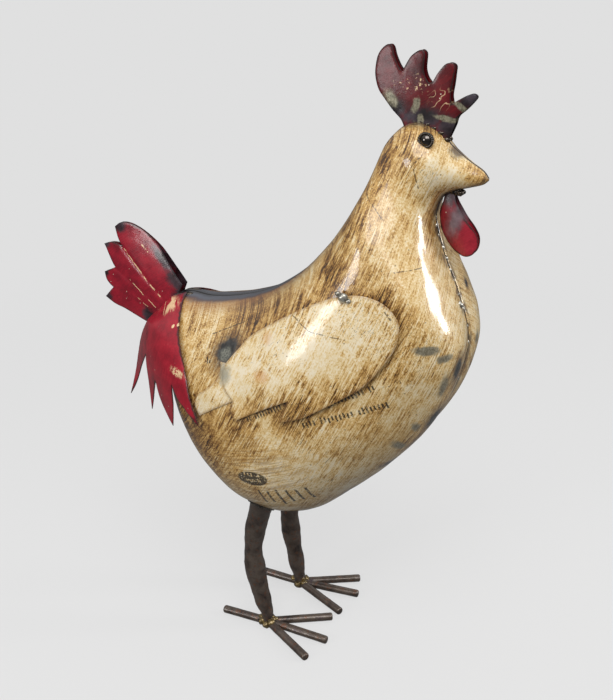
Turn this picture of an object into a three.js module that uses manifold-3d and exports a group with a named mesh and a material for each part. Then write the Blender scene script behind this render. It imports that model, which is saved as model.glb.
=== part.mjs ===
// Garden rooster built from scrap sheet metal: two hammered half shells welded along the middle line, domed
// feather plates, twin-sheet comb and wattles, steel ball eyes and two bent bar legs with round-bar toes.
// Millimetres, +Z up. The bird faces +X and stands on Z = 0; its right side is -Y and its left side +Y.
import * as THREE from 'three';
import { mergeVertices } from 'three/addons/utils/BufferGeometryUtils.js';
import Module from 'manifold-3d';

const wasm = await Module();
wasm.setup();

// ---------------------------------------------------------------------------------------------------------
// Driving dimensions
// ---------------------------------------------------------------------------------------------------------
const GAP = 0.3; // air between neighbouring pieces
const GAUGE = 1.2; // thickness of the feather, comb and wattle sheets
const SEAM_DIP = 5; // how far the breast swells past the welded seam
const EYE_RADIUS = 6.2;
const EYE_AT = [110, 19.5, 486];
const TOE_RADIUS = 4; // 8 mm round bar
const TOE_LENGTH = 65;
const BACK_TOE_LENGTH = 49;
const HUB_RADIUS = 6.5; // lower end of a leg, standing on the floor
const HUB_AT = [-25.5, 35.5];
const WING_STANDOFF = 2.9;
const WING_CROWN = 3.2;
const WING_TIP_STANDOFF = 1.1;
const AROUND = 26; // facets of the body shell round its girth and along its length
const ALONG = 42;

// Body sections from tail to beak. Each one runs from the back (top) down to the belly (keel) in the middle
// plane, is `half` wide to each side, and is blunter than an ellipse where `blunt` is above 2.
const BODY_SECTIONS = [
  { top: [-150, 303], keel: [-150, 299], half: 4, blunt: 2.0, widest: 0.5 },
  { top: [-139, 321], keel: [-142, 276], half: 17, blunt: 2.0, widest: 0.5 },
  { top: [-120, 327], keel: [-122, 232], half: 44, blunt: 2.0, widest: 0.52 },
  { top: [-97, 326], keel: [-92, 183], half: 69, blunt: 2.2, widest: 0.53 },
  { top: [-67, 331], keel: [-48, 147], half: 86, blunt: 2.3, widest: 0.54 },
  { top: [-37, 341], keel: [-2, 137], half: 93, blunt: 2.3, widest: 0.54 },
  { top: [-12, 356], keel: [33, 151], half: 94, blunt: 2.3, widest: 0.53 },
  { top: [9, 373], keel: [69, 185], half: 90, blunt: 2.4, widest: 0.52 },
  { top: [27, 392], keel: [107, 227], half: 82, blunt: 2.6, widest: 0.51 },
  { top: [43, 413], keel: [135, 274], half: 74, blunt: 2.8, widest: 0.5 },
  { top: [57, 437], keel: [147, 324], half: 65, blunt: 3.0, widest: 0.5 },
  { top: [66, 460], keel: [136, 364], half: 48, blunt: 2.8, widest: 0.5 },
  { top: [74, 480], keel: [124, 391], half: 37, blunt: 2.5, widest: 0.5 },
  { top: [85, 492], keel: [115, 418], half: 32, blunt: 2.3, widest: 0.5 },
  { top: [98, 496], keel: [115, 431], half: 31, blunt: 2.1, widest: 0.5 },
  { top: [113, 490], keel: [120, 441], half: 27, blunt: 2.0, widest: 0.5 },
  { top: [126, 478], keel: [129, 446], half: 19, blunt: 2.0, widest: 0.5 },
  { top: [139, 469], keel: [140, 449], half: 11, blunt: 2.0, widest: 0.5 },
  { top: [149, 463], keel: [150, 452], half: 6, blunt: 2.0, widest: 0.5 },
  { top: [154, 458], keel: [154, 455], half: 1.5, blunt: 2.0, widest: 0.5 },
];

// Leg centre line and radius, from the foot hub up into the belly.
const LEG_SECTIONS = [
  { at: [-25.5, 0], radius: HUB_RADIUS },
  { at: [-25.8, 13], radius: 6.4 },
  { at: [-30, 27], radius: 8.4 },
  { at: [-35, 47], radius: 9.4 },
  { at: [-39, 68], radius: 9.9 },
  { at: [-40, 88], radius: 9.5 },
  { at: [-37, 110], radius: 10.6 },
  { at: [-31.5, 132], radius: 11 },
  { at: [-24, 158], radius: 11.5 },
];

// Toe headings in degrees from straight ahead, positive toward the middle of the bird.
const FEET = {
  right: { side: -1, inner: 32, middle: 0, outer: -28, back: 183 },
  left: { side: 1, inner: 24, middle: -7, outer: -31, back: 180 },
};

// How far forward of LEG_SECTIONS each leg is bent at its ankle.
const LEG_BOW = { right: 0, left: 3.5 };

// Feather plates are drawn flat in a plane (u forward, v up, both in mm) as runs of points between sharp
// corners, then domed by `rise`, which is the height of the sheet over that plane.
const WING = {
  plane: { at: [40, -84, 318], yaw: 3, lean: 12 },
  outline: [
    [[-79, -20], [-67, -4], [-53, 12], [-16, 35], [15, 51], [36, 57], [52, 56], [64, 50], [72, 40], [73, 29],
      [70, 17], [60, 0], [48, -15], [32, -27], [16, -38], [0, -48], [-19, -55]],
    [[-19, -55], [-15, -46], [-11, -35]],
    [[-11, -35], [-36, -48], [-60, -62]],
    [[-60, -62], [-65, -57], [-64, -46]],
    [[-64, -46], [-75, -36], [-79, -20]],
  ],
};
const WING_TIP = {
  plane: WING.plane,
  outline: [
    [[-83, -17], [-82, -29], [-93, -41], [-106, -51]],
    [[-106, -51], [-107, -60], [-101, -68]],
    [[-101, -68], [-83, -57], [-60, -44]],
    [[-60, -44], [-52, -30], [-62, -17]],
    [[-62, -17], [-83, -17]],
  ],
};
const COMB = {
  plane: { at: [0, -1.8, 0], yaw: 0, lean: 0 },
  outline: [
    [[88, 484], [84, 496], [76, 504], [69, 512], [63.5, 519], [60.5, 528], [60.3, 536], [62, 544], [66, 549.5],
      [70.5, 552], [73.5, 550], [75.5, 543.5], [79, 536.5], [82.5, 532.5]],
    [[82.5, 532.5], [85.5, 538.5], [89, 544], [93.5, 547.5], [97, 548.5], [99.5, 546], [99.5, 541], [99.3, 535],
      [101, 529.5], [104, 525.5]],
    [[104, 525.5], [107, 526]],
    [[107, 526], [110.5, 532.5], [115.5, 538.7], [119.5, 540], [123, 538], [123, 533], [122.3, 525], [121.3, 517],
      [122.5, 511]],
    [[122.5, 511], [127, 513.7], [134, 517.6], [138, 518.5], [140.7, 517], [140, 514.3], [133.5, 507],
      [127.5, 501.5], [125.5, 495], [121, 484]],
    [[121, 484], [88, 484]],
  ],
  rise: (u, v) => 3 - 2.6 * (((u - 97) / 47) ** 2 + ((v - 512) / 52) ** 2),
};
const WATTLE = {
  plane: { at: [134, -3, 420], yaw: 0, lean: 0 },
  outline: [
    [[-11, 31], [-12.5, 25], [-13.5, 18], [-15.8, 11], [-16, 4], [-14.3, -5], [-10, -13], [-3.5, -20.5], [3, -24.5],
      [8, -25.2], [13, -22.5], [15.7, -17], [15.6, -9.5], [11.5, -2.5], [5, 4.7], [0, 12], [-4, 19], [-4.5, 25],
      [-3, 32]],
    [[-3, 32], [-11, 31]],
  ],
  rise: (u, v) => 4 - 0.014 * (u + 0.35 * v) ** 2 - 0.004 * v ** 2,
};
const TAIL_FAN = {
  plane: { at: [0, -1.1, 0], yaw: 0, lean: 0 },
  outline: [
    [[-127, 333], [-138, 347], [-152, 366], [-166.6, 377.4], [-181.7, 384], [-194, 384.5], [-202, 379.5]],
    [[-202, 379.5], [-199, 370], [-194.4, 362]],
    [[-194.4, 362], [-206, 363.8], [-216.4, 361]],
    [[-216.4, 361], [-211, 351], [-204, 339.5]],
    [[-204, 339.5], [-211, 336], [-218.2, 333]],
    [[-218.2, 333], [-216, 325], [-208.7, 318.3]],
    [[-208.7, 318.3], [-214, 313], [-220, 307]],
    [[-220, 307], [-209, 301], [-195, 297], [-171, 288]],
    [[-171, 288], [-148, 288]],
    [[-148, 288], [-127, 333]],
  ],
  rise: (u, v) => {
    const along = -0.92 * (u + 135) + 0.39 * (v - 315);
    const across = 0.39 * (u + 135) + 0.92 * (v - 315);
    return 5.5 * bump(across / 44) * bump((along - 30) / 60);
  },
};
const SADDLE = {
  plane: { at: [-125, -45, 285], yaw: -33, lean: 20 },
  outline: [
    [[-18, 52], [-7, 46], [7, 36], [23, 24], [41, 9], [55, -7], [65, -23], [75, -35], [82, -43]],
    [[82, -43], [66, -38], [50, -32], [39, -22]],
    [[39, -22], [41, -40], [37, -61]],
    [[37, -61], [25, -54], [13, -44], [6, -31]],
    [[6, -31], [-2, -46], [-10, -64]],
    [[-10, -64], [-13, -48], [-16, -32], [-21, -15]],
    [[-21, -15], [-44, -38], [-61, -68]],
    [[-61, -68], [-62, -50], [-62, -33], [-62, -14], [-57, -2], [-46, 10], [-42, 19], [-36, 31], [-27, 42],
      [-18, 52]],
  ],
  overRump: 2,
  rise: (mmU, mmV) => {
    const u = mmU / 10;
    const v = mmV / 10;
    const bow = 8.4 + 0.2 * u + 0.9 * v - 0.36 * u * u - 0.13 * u * v - 0.73 * v * v;
    return bow - 0.053 * u * u * v - 0.032 * u * v * v - 0.056 * v ** 3;
  },
};

const MATERIALS = {
  cream: () => new THREE.MeshStandardMaterial({ color: 0xcfb27a, roughness: 0.35, metalness: 0.1 }),
  red: () => new THREE.MeshStandardMaterial({ color: 0x74202a, roughness: 0.35, metalness: 0.15 }),
  steel: () => new THREE.MeshStandardMaterial({ color: 0x4b3a33, roughness: 0.55, metalness: 0.7 }),
  ball: () => new THREE.MeshStandardMaterial({ color: 0x3a3632, roughness: 0.12, metalness: 0.95 }),
};

// ---------------------------------------------------------------------------------------------------------
// Solids
// ---------------------------------------------------------------------------------------------------------

/** A closed three.js geometry as a manifold solid, turned right side out. */
function toSolid(geometry) {
  const plain = geometry.clone();
  plain.deleteAttribute('normal');
  plain.deleteAttribute('uv');
  const merged = mergeVertices(plain, 1e-4);
  const points = merged.attributes.position.array;
  const index = Uint32Array.from(merged.index.array);
  let volume = 0;
  const a = new THREE.Vector3();
  const b = new THREE.Vector3();
  const c = new THREE.Vector3();
  for (let i = 0; i < index.length; i += 3) {
    a.fromArray(points, index[i] * 3);
    b.fromArray(points, index[i + 1] * 3);
    c.fromArray(points, index[i + 2] * 3);
    volume += a.dot(b.cross(c));
  }
  if (volume < 0) {
    for (let i = 0; i < index.length; i += 3) {
      [index[i], index[i + 1]] = [index[i + 1], index[i]];
    }
  }
  const mesh = new wasm.Mesh({ numProp: 3, vertProperties: Float32Array.from(points), triVerts: index });
  return new wasm.Manifold(mesh);
}

/** A manifold solid as a three.js geometry. */
function toGeometry(solid) {
  const mesh = solid.getMesh();
  const geometry = new THREE.BufferGeometry();
  geometry.setAttribute('position', new THREE.BufferAttribute(Float32Array.from(mesh.vertProperties), 3));
  geometry.setIndex(new THREE.BufferAttribute(Uint32Array.from(mesh.triVerts), 1));
  return geometry;
}

/** The same geometry on the other side of the middle plane. */
function mirrored(geometry) {
  const twin = geometry.clone();
  const position = twin.attributes.position;
  for (let i = 0; i < position.count; i += 1) {
    position.setY(i, -position.getY(i));
  }
  const index = twin.index.array;
  for (let i = 0; i < index.length; i += 3) {
    [index[i], index[i + 1]] = [index[i + 1], index[i]];
  }
  return twin;
}

function box(min, max) {
  const size = new THREE.Vector3().subVectors(max, min);
  const geometry = new THREE.BoxGeometry(size.x, size.y, size.z);
  return geometry.translate((min.x + max.x) / 2, (min.y + max.y) / 2, (min.z + max.z) / 2);
}

function bump(t) {
  return THREE.MathUtils.clamp(1 - t * t, 0, 1);
}

// The four rails of the body: back line, keel line, and the width and bluntness between them.
const topRail = new THREE.CatmullRomCurve3(
  BODY_SECTIONS.map((s) => new THREE.Vector3(s.top[0], 0, s.top[1])), false, 'catmullrom');
const keelRail = new THREE.CatmullRomCurve3(
  BODY_SECTIONS.map((s) => new THREE.Vector3(s.keel[0], 0, s.keel[1])), false, 'catmullrom');
const girthRail = new THREE.CatmullRomCurve3(
  BODY_SECTIONS.map((s) => new THREE.Vector3(s.half, s.blunt, s.widest)), false, 'catmullrom');

/** Skin of the body: a cylinder wrapped over the rails, `grow` mm larger all round. */
function bodyGeometry(around, along, grow = 0) {
  const geometry = new THREE.CylinderGeometry(1, 1, 1, around, along);
  const position = geometry.attributes.position;
  const top = new THREE.Vector3();
  const keel = new THREE.Vector3();
  const girth = new THREE.Vector3();
  const down = new THREE.Vector3();
  for (let i = 0; i < position.count; i += 1) {
    const t = THREE.MathUtils.clamp(0.5 - position.getY(i), 0, 1);
    const sin = position.getX(i);
    const cos = position.getZ(i);
    const reach = Math.hypot(sin, cos) > 0.5 ? 1 : 0;
    topRail.getPoint(t, top);
    keelRail.getPoint(t, keel);
    girthRail.getPoint(t, girth);
    const depth = top.distanceTo(keel);
    down.subVectors(keel, top).normalize();
    top.addScaledVector(down, -grow);
    keel.addScaledVector(down, grow);
    const power = 2 / girth.y;
    const half = girth.x + grow;
    const across = reach * half * Math.sign(sin) * Math.abs(sin) ** power;
    const lift = reach * Math.sign(cos) * Math.abs(cos) ** power;
    const share = (1 - lift) / 2;
    const breast = bump((t - 0.53) / 0.24) * Math.min(1, girth.x / 50);
    const swell = cos < 0 ? SEAM_DIP * breast * bump((Math.abs(across) / half - 0.42) / 0.42) : 0;
    const drop = share < 0.5 ? share * 2 * girth.z : girth.z + (share - 0.5) * 2 * (1 - girth.z);
    const point = top.clone().lerp(keel, drop + swell / depth);
    position.setXYZ(i, point.x, across, point.z);
  }
  return geometry;
}

/** A bent bar of changing thickness through the leg sections, standing at y and bowed forward by `bow`. */
function legGeometry(around, along, y, bow) {
  const line = new THREE.CatmullRomCurve3(
    LEG_SECTIONS.map((s) => new THREE.Vector3(s.at[0], s.radius, s.at[1])), false, 'catmullrom');
  const geometry = new THREE.CylinderGeometry(1, 1, 1, around, along);
  const position = geometry.attributes.position;
  const centre = new THREE.Vector3();
  for (let i = 0; i < position.count; i += 1) {
    line.getPoint(THREE.MathUtils.clamp(0.5 - position.getY(i), 0, 1), centre);
    const x = centre.x + bow * bump((centre.z - 70) / 55) + position.getX(i) * centre.y;
    position.setXYZ(i, x, y + position.getZ(i) * centre.y, Math.max(0, centre.z));
  }
  return geometry;
}

/** Axes of a plate's plane: u along the plate, v up it and w out of it. */
function planeMatrix({ at, yaw, lean }) {
  const y = THREE.MathUtils.degToRad(yaw);
  const l = THREE.MathUtils.degToRad(lean);
  const w = new THREE.Vector3(Math.sin(y) * Math.cos(l), -Math.cos(y) * Math.cos(l), Math.sin(l));
  const u = new THREE.Vector3(Math.cos(y), Math.sin(y), 0);
  const v = new THREE.Vector3().crossVectors(w, u);
  return new THREE.Matrix4().makeBasis(u, v, w).setPosition(...at);
}

function outlineShape(runs) {
  const shape = new THREE.Shape();
  shape.moveTo(...runs[0][0]);
  for (const run of runs) {
    if (run.length === 2) {
      shape.lineTo(...run[1]);
    } else {
      shape.splineThru(run.slice(1).map((p) => new THREE.Vector2(...p)));
    }
  }
  return shape;
}

/** A domed sheet of the plate's outline, `cell` mm between the folds of its dome. */
function plateSolid(plate, rise, cell) {
  const shape = outlineShape(plate.outline);
  const rim = shape.getPoints(8);
  const bounds = new THREE.Box2().setFromPoints(rim).expandByScalar(2);
  const size = bounds.getSize(new THREE.Vector2());
  const middle = bounds.getCenter(new THREE.Vector2());
  const columns = Math.ceil(size.x / cell);
  const rows = Math.ceil(size.y / cell);
  const slab = new THREE.BoxGeometry(size.x, size.y, GAUGE, columns, rows, 1);
  slab.translate(middle.x, middle.y, 0);
  const position = slab.attributes.position;
  for (let i = 0; i < position.count; i += 1) {
    const lift = rise(position.getX(i), position.getY(i));
    position.setZ(i, position.getZ(i) + lift);
  }
  slab.computeBoundingBox();
  const low = slab.boundingBox.min.z - 5;
  const high = slab.boundingBox.max.z + 5;
  const cutter = new THREE.ExtrudeGeometry(shape, { depth: high - low, bevelEnabled: false, curveSegments: 1 });
  cutter.translate(0, 0, low);
  const matrix = planeMatrix(plate.plane);
  return toSolid(slab.applyMatrix4(matrix)).intersect(toSolid(cutter.applyMatrix4(matrix)));
}

// ---------------------------------------------------------------------------------------------------------
// The skin that the wings and the saddle feathers rest on
// ---------------------------------------------------------------------------------------------------------
const skin = new THREE.Mesh(bodyGeometry(56, 96), new THREE.MeshBasicMaterial({ side: THREE.DoubleSide }));
skin.geometry.computeBoundingSphere();
const ray = new THREE.Raycaster();

/** Height of the skin over a plate's plane, found along the plane's own normal. */
function flank(plane, u, v) {
  const matrix = planeMatrix(plane);
  const from = new THREE.Vector3(u, v, 300).applyMatrix4(matrix);
  const aim = new THREE.Vector3(0, 0, -1).transformDirection(matrix);
  ray.set(from, aim);
  const hit = ray.intersectObject(skin)[0];
  return hit ? Math.max(300 - hit.distance, -34) : -34;
}

function wingRise(u, v) {
  return flank(WING.plane, u, v) + WING_STANDOFF + WING_CROWN * bump(Math.hypot((u - 5) / 80, (v - 2) / 70));
}

function wingTipRise(u, v) {
  return flank(WING.plane, u, v) + WING_TIP_STANDOFF;
}

/** The saddle feathers hug the rump at their root and hang free of it below. */
function saddleRise(u, v) {
  const hug = THREE.MathUtils.smoothstep(v, 12, 42);
  const rump = flank(SADDLE.plane, u, v) + SADDLE.overRump;
  return Math.max(THREE.MathUtils.lerp(SADDLE.rise(u, v), rump, hug), rump);
}

// ---------------------------------------------------------------------------------------------------------
// Pieces
// ---------------------------------------------------------------------------------------------------------
const rooster = new THREE.Group();

function add(parent, name, geometry, material) {
  const mesh = new THREE.Mesh(geometry, material());
  mesh.name = name;
  parent.add(mesh);
  return mesh;
}

/** The piece made for the right side, and its twin on the left. */
function addPair(rightName, leftName, solid, material) {
  const geometry = toGeometry(solid);
  add(rooster, rightName, geometry, material);
  add(rooster, leftName, mirrored(geometry), material);
}

// Body halves, with a socket for each eye.
const body = toSolid(bodyGeometry(AROUND, ALONG));
const clearBody = toSolid(bodyGeometry(AROUND, ALONG, GAP + 0.1));
const rightOfSeam = toSolid(box(new THREE.Vector3(-300, -300, -10), new THREE.Vector3(300, -GAP / 2, 700)));
const socket = new THREE.SphereGeometry(EYE_RADIUS + GAP, 12, 8);
socket.translate(EYE_AT[0], -EYE_AT[1], EYE_AT[2]);
addPair('body_right_half', 'body_left_half', body.intersect(rightOfSeam).subtract(toSolid(socket)),
  MATERIALS.cream);

// Wings: a broad domed plate with two feather points, and a narrow plate showing from under its rear end.
addPair('wing_right', 'wing_left', plateSolid(WING, wingRise, 16), MATERIALS.cream);
addPair('wing_tip_right', 'wing_tip_left', plateSolid(WING_TIP, wingTipRise, 12).subtract(clearBody),
  MATERIALS.cream);

// Comb, wattles, tail fan and the drooping saddle feathers, all cut clear of the body.
addPair('comb_right_sheet', 'comb_left_sheet', plateSolid(COMB, COMB.rise, 16).subtract(clearBody),
  MATERIALS.red);
addPair('wattle_right', 'wattle_left', plateSolid(WATTLE, WATTLE.rise, 10).subtract(clearBody), MATERIALS.red);
addPair('tail_fan_right', 'tail_fan_left', plateSolid(TAIL_FAN, TAIL_FAN.rise, 18).subtract(clearBody),
  MATERIALS.red);
addPair('saddle_feathers_right', 'saddle_feathers_left', plateSolid(SADDLE, saddleRise, 16).subtract(clearBody),
  MATERIALS.red);

// Steel ball eyes, half sunk in their sockets.
for (const [name, side] of [['eye_right', -1], ['eye_left', 1]]) {
  const eye = add(rooster, name, new THREE.SphereGeometry(EYE_RADIUS, 12, 8), MATERIALS.ball);
  eye.position.set(EYE_AT[0], side * EYE_AT[1], EYE_AT[2]);
}

// Legs, cut clear of the belly they are welded to.
for (const [foot, { side }] of Object.entries(FEET)) {
  const leg = toSolid(legGeometry(12, 11, side * HUB_AT[1], LEG_BOW[foot])).subtract(clearBody);
  add(rooster, `leg_${foot}`, toGeometry(leg), MATERIALS.steel);
}

/** A round bar lying along +X from the hub, mitred by a wedge so that it clears the toes beside it. */
function toeGeometry(length, leftWedge, rightWedge) {
  const bar = new THREE.CylinderGeometry(TOE_RADIUS, TOE_RADIUS, length - HUB_RADIUS - GAP, 12);
  bar.rotateZ(Math.PI / 2);
  bar.translate((length + HUB_RADIUS + GAP) / 2, 0, TOE_RADIUS);
  const left = THREE.MathUtils.degToRad(Math.min(leftWedge, 80));
  const right = THREE.MathUtils.degToRad(Math.min(rightWedge, 80));
  const apex = (GAP / 2 + 0.02) / Math.sin(Math.min(left, right));
  const wedge = new THREE.Shape();
  wedge.moveTo(apex, 0);
  wedge.lineTo(apex + 90 * Math.cos(right), -90 * Math.sin(right));
  wedge.lineTo(apex + 90, 0);
  wedge.lineTo(apex + 90 * Math.cos(left), 90 * Math.sin(left));
  const cutter = new THREE.ExtrudeGeometry(wedge, { depth: 20, bevelEnabled: false });
  cutter.translate(0, 0, -5);
  return toGeometry(toSolid(bar).intersect(toSolid(cutter)));
}

for (const [foot, { side, inner, middle, outer, back }] of Object.entries(FEET)) {
  const group = new THREE.Group();
  group.position.set(HUB_AT[0], side * HUB_AT[1], 0);
  rooster.add(group);
  const innerGap = (inner - middle) / 2;
  const outerGap = (middle - outer) / 2;
  const toes = [
    [`toe_inner_${foot}`, inner, TOE_LENGTH, 80, innerGap],
    [`toe_middle_${foot}`, middle, TOE_LENGTH, innerGap, outerGap],
    [`toe_outer_${foot}`, outer, TOE_LENGTH, outerGap, 80],
    [`toe_back_${foot}`, back, BACK_TOE_LENGTH, 80, 80],
  ];
  for (const [name, heading, length, towardInner, towardOuter] of toes) {
    // Toward the middle of the bird is +Y on the right foot and -Y on the left one.
    const wedges = side < 0 ? [towardInner, towardOuter] : [towardOuter, towardInner];
    const toe = add(group, name, toeGeometry(length, ...wedges), MATERIALS.steel);
    toe.rotation.z = THREE.MathUtils.degToRad(-side * heading);
  }
}

// Stand the bird with the middle of its length over the origin.
rooster.updateMatrixWorld(true);
const extent = new THREE.Box3().setFromObject(rooster, true);
rooster.position.x = -(extent.min.x + extent.max.x) / 2;
rooster.updateMatrixWorld(true);

export default rooster;
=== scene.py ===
"""Looks of the scrap metal rooster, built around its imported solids.

Shapes are worked out in millimetres on the same dimensions as the solids, with the bird's middle plane at
y = 0, its right side at -y and the floor at z = 0, and are turned into metres in the frame at the end.
"""
import math

import bpy
import numpy as np
from mathutils import Matrix, Vector, noise
from mathutils.bvhtree import BVHTree
from mathutils.geometry import delaunay_2d_cdt


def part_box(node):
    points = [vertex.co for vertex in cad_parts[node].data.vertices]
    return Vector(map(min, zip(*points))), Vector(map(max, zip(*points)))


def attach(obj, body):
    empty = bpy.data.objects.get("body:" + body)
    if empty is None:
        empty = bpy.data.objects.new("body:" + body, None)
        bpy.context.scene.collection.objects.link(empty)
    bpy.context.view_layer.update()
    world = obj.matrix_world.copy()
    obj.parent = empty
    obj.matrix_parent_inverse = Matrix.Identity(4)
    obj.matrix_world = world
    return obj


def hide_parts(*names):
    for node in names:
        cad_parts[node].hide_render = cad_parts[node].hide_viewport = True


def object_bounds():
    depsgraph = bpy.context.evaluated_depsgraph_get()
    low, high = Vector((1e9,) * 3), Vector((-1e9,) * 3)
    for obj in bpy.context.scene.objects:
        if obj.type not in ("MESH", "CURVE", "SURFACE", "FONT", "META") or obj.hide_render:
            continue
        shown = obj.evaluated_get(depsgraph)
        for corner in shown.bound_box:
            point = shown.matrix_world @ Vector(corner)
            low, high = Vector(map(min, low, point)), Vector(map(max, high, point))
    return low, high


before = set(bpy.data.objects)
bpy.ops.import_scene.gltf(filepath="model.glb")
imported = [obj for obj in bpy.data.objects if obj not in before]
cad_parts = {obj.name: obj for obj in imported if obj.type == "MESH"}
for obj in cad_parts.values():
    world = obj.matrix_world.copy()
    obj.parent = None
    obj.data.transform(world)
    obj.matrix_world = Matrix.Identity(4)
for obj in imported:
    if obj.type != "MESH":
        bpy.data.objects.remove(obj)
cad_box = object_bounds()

# ----------------------------------------------------------------------------------------------------------
# Camera
# ----------------------------------------------------------------------------------------------------------
IMAGE_LONG_SIDE = 700
FOCAL_IN_PIXELS = 900
AZIMUTH, ELEVATION = math.radians(26), math.radians(22.5)
LOOK_AT = Vector((0.033, 0.0, 0.2884))
CAMERA_DISTANCE = 0.810

camera_data = bpy.data.cameras.new("camera")
camera_data.sensor_width = 36
camera_data.lens = 36 * FOCAL_IN_PIXELS / IMAGE_LONG_SIDE
camera_data.clip_start = 0.02
camera = bpy.data.objects.new("camera", camera_data)
bpy.context.scene.collection.objects.link(camera)
back = Vector((math.sin(AZIMUTH) * math.cos(ELEVATION), -math.cos(AZIMUTH) * math.cos(ELEVATION),
               math.sin(ELEVATION)))
camera.location = LOOK_AT + CAMERA_DISTANCE * back
camera.rotation_euler = (-back).to_track_quat("-Z", "Y").to_euler()
bpy.context.scene.camera = camera

# ----------------------------------------------------------------------------------------------------------
# Dimensions shared with the solids, in mm
# ----------------------------------------------------------------------------------------------------------
GAP = 0.3
GAUGE = 1.2
SEAM_DIP = 5
EYE_RADIUS = 6.2
EYE_AT = (110, 19.5, 486)
TOE_RADIUS = 4
TOE_LENGTH = 65
BACK_TOE_LENGTH = 49
HUB_RADIUS = 6.5
HUB_AT = (-25.5, 35.5)
WING_STANDOFF = 2.9
WING_CROWN = 3.2
WING_TIP_STANDOFF = 1.1

# top x, z, keel x, z, half width, bluntness, widest
BODY_SECTIONS = np.array([
    (-150, 303, -150, 299, 4, 2.0, 0.50), (-139, 321, -142, 276, 17, 2.0, 0.50),
    (-120, 327, -122, 232, 44, 2.0, 0.52), (-97, 326, -92, 183, 69, 2.2, 0.53),
    (-67, 331, -48, 147, 86, 2.3, 0.54), (-37, 341, -2, 137, 93, 2.3, 0.54),
    (-12, 356, 33, 151, 94, 2.3, 0.53), (9, 373, 69, 185, 90, 2.4, 0.52),
    (27, 392, 107, 227, 82, 2.6, 0.51), (43, 413, 135, 274, 74, 2.8, 0.50),
    (57, 437, 147, 324, 65, 3.0, 0.50), (66, 460, 136, 364, 48, 2.8, 0.50),
    (74, 480, 124, 391, 37, 2.5, 0.50), (85, 492, 115, 418, 32, 2.3, 0.50),
    (98, 496, 115, 431, 31, 2.1, 0.50), (113, 490, 120, 441, 27, 2.0, 0.50),
    (126, 478, 129, 446, 19, 2.0, 0.50), (139, 469, 140, 449, 11, 2.0, 0.50),
    (149, 463, 150, 452, 6, 2.0, 0.50), (154, 458, 154, 455, 1.5, 2.0, 0.50),
], float)

# x, z, radius up the leg
LEG_SECTIONS = np.array([
    (-25.5, 0, HUB_RADIUS), (-25.8, 13, 6.4), (-30, 27, 8.4), (-35, 47, 9.4), (-39, 68, 9.9), (-40, 88, 9.5),
    (-37, 110, 10.6), (-31.5, 132, 11), (-24, 158, 11.5),
], float)
FEET = {
    "right": dict(side=-1, inner=32, middle=0, outer=-28, back=183, bow=0),
    "left": dict(side=1, inner=24, middle=-7, outer=-31, back=180, bow=3.5),
}

WING = dict(at=(40, -84, 318), yaw=3, lean=12, outline=[
    [(-79, -20), (-67, -4), (-53, 12), (-16, 35), (15, 51), (36, 57), (52, 56), (64, 50), (72, 40), (73, 29),
     (70, 17), (60, 0), (48, -15), (32, -27), (16, -38), (0, -48), (-19, -55)],
    [(-19, -55), (-15, -46), (-11, -35)],
    [(-11, -35), (-36, -48), (-60, -62)],
    [(-60, -62), (-65, -57), (-64, -46)],
    [(-64, -46), (-75, -36), (-79, -20)],
])
WING_TIP = dict(at=WING["at"], yaw=3, lean=12, outline=[
    [(-83, -17), (-82, -29), (-93, -41), (-106, -51)],
    [(-106, -51), (-107, -60), (-101, -68)],
    [(-101, -68), (-83, -57), (-60, -44)],
    [(-60, -44), (-52, -30), (-62, -17)],
    [(-62, -17), (-83, -17)],
])
COMB = dict(at=(0, -1.8, 0), yaw=0, lean=0, outline=[
    [(88, 484), (84, 496), (76, 504), (69, 512), (63.5, 519), (60.5, 528), (60.3, 536), (62, 544),
     (66, 549.5), (70.5, 552), (73.5, 550), (75.5, 543.5), (79, 536.5), (82.5, 532.5)],
    [(82.5, 532.5), (85.5, 538.5), (89, 544), (93.5, 547.5), (97, 548.5), (99.5, 546), (99.5, 541),
     (99.3, 535), (101, 529.5), (104, 525.5)],
    [(104, 525.5), (107, 526)],
    [(107, 526), (110.5, 532.5), (115.5, 538.7), (119.5, 540), (123, 538), (123, 533), (122.3, 525),
     (121.3, 517), (122.5, 511)],
    [(122.5, 511), (127, 513.7), (134, 517.6), (138, 518.5), (140.7, 517), (140, 514.3), (133.5, 507),
     (127.5, 501.5), (125.5, 495), (121, 484)],
    [(121, 484), (88, 484)],
])
WATTLE = dict(at=(134, -1.4, 420), yaw=0, lean=0, outline=[
    [(-11, 31), (-12.5, 25), (-13.5, 18), (-15.8, 11), (-16, 4), (-14.3, -5), (-10, -13), (-3.5, -20.5),
     (3, -24.5), (8, -25.2), (13, -22.5), (15.7, -17), (15.6, -9.5), (11.5, -2.5), (5, 4.7), (0, 12),
     (-4, 19), (-4.5, 25), (-3, 32)],
    [(-3, 32), (-11, 31)],
])
TAIL_FAN = dict(at=(0, -1.1, 0), yaw=0, lean=0, outline=[
    [(-127, 333), (-138, 347), (-152, 366), (-166.6, 377.4), (-181.7, 384), (-194, 384.5), (-202, 379.5)],
    [(-202, 379.5), (-199, 370), (-194.4, 362)],
    [(-194.4, 362), (-206, 363.8), (-216.4, 361)],
    [(-216.4, 361), (-211, 351), (-204, 339.5)],
    [(-204, 339.5), (-211, 336), (-218.2, 333)],
    [(-218.2, 333), (-216, 325), (-208.7, 318.3)],
    [(-208.7, 318.3), (-214, 313), (-220, 307)],
    [(-220, 307), (-209, 301), (-195, 297), (-171, 288)],
    [(-171, 288), (-148, 288)],
    [(-148, 288), (-127, 333)],
])
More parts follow.
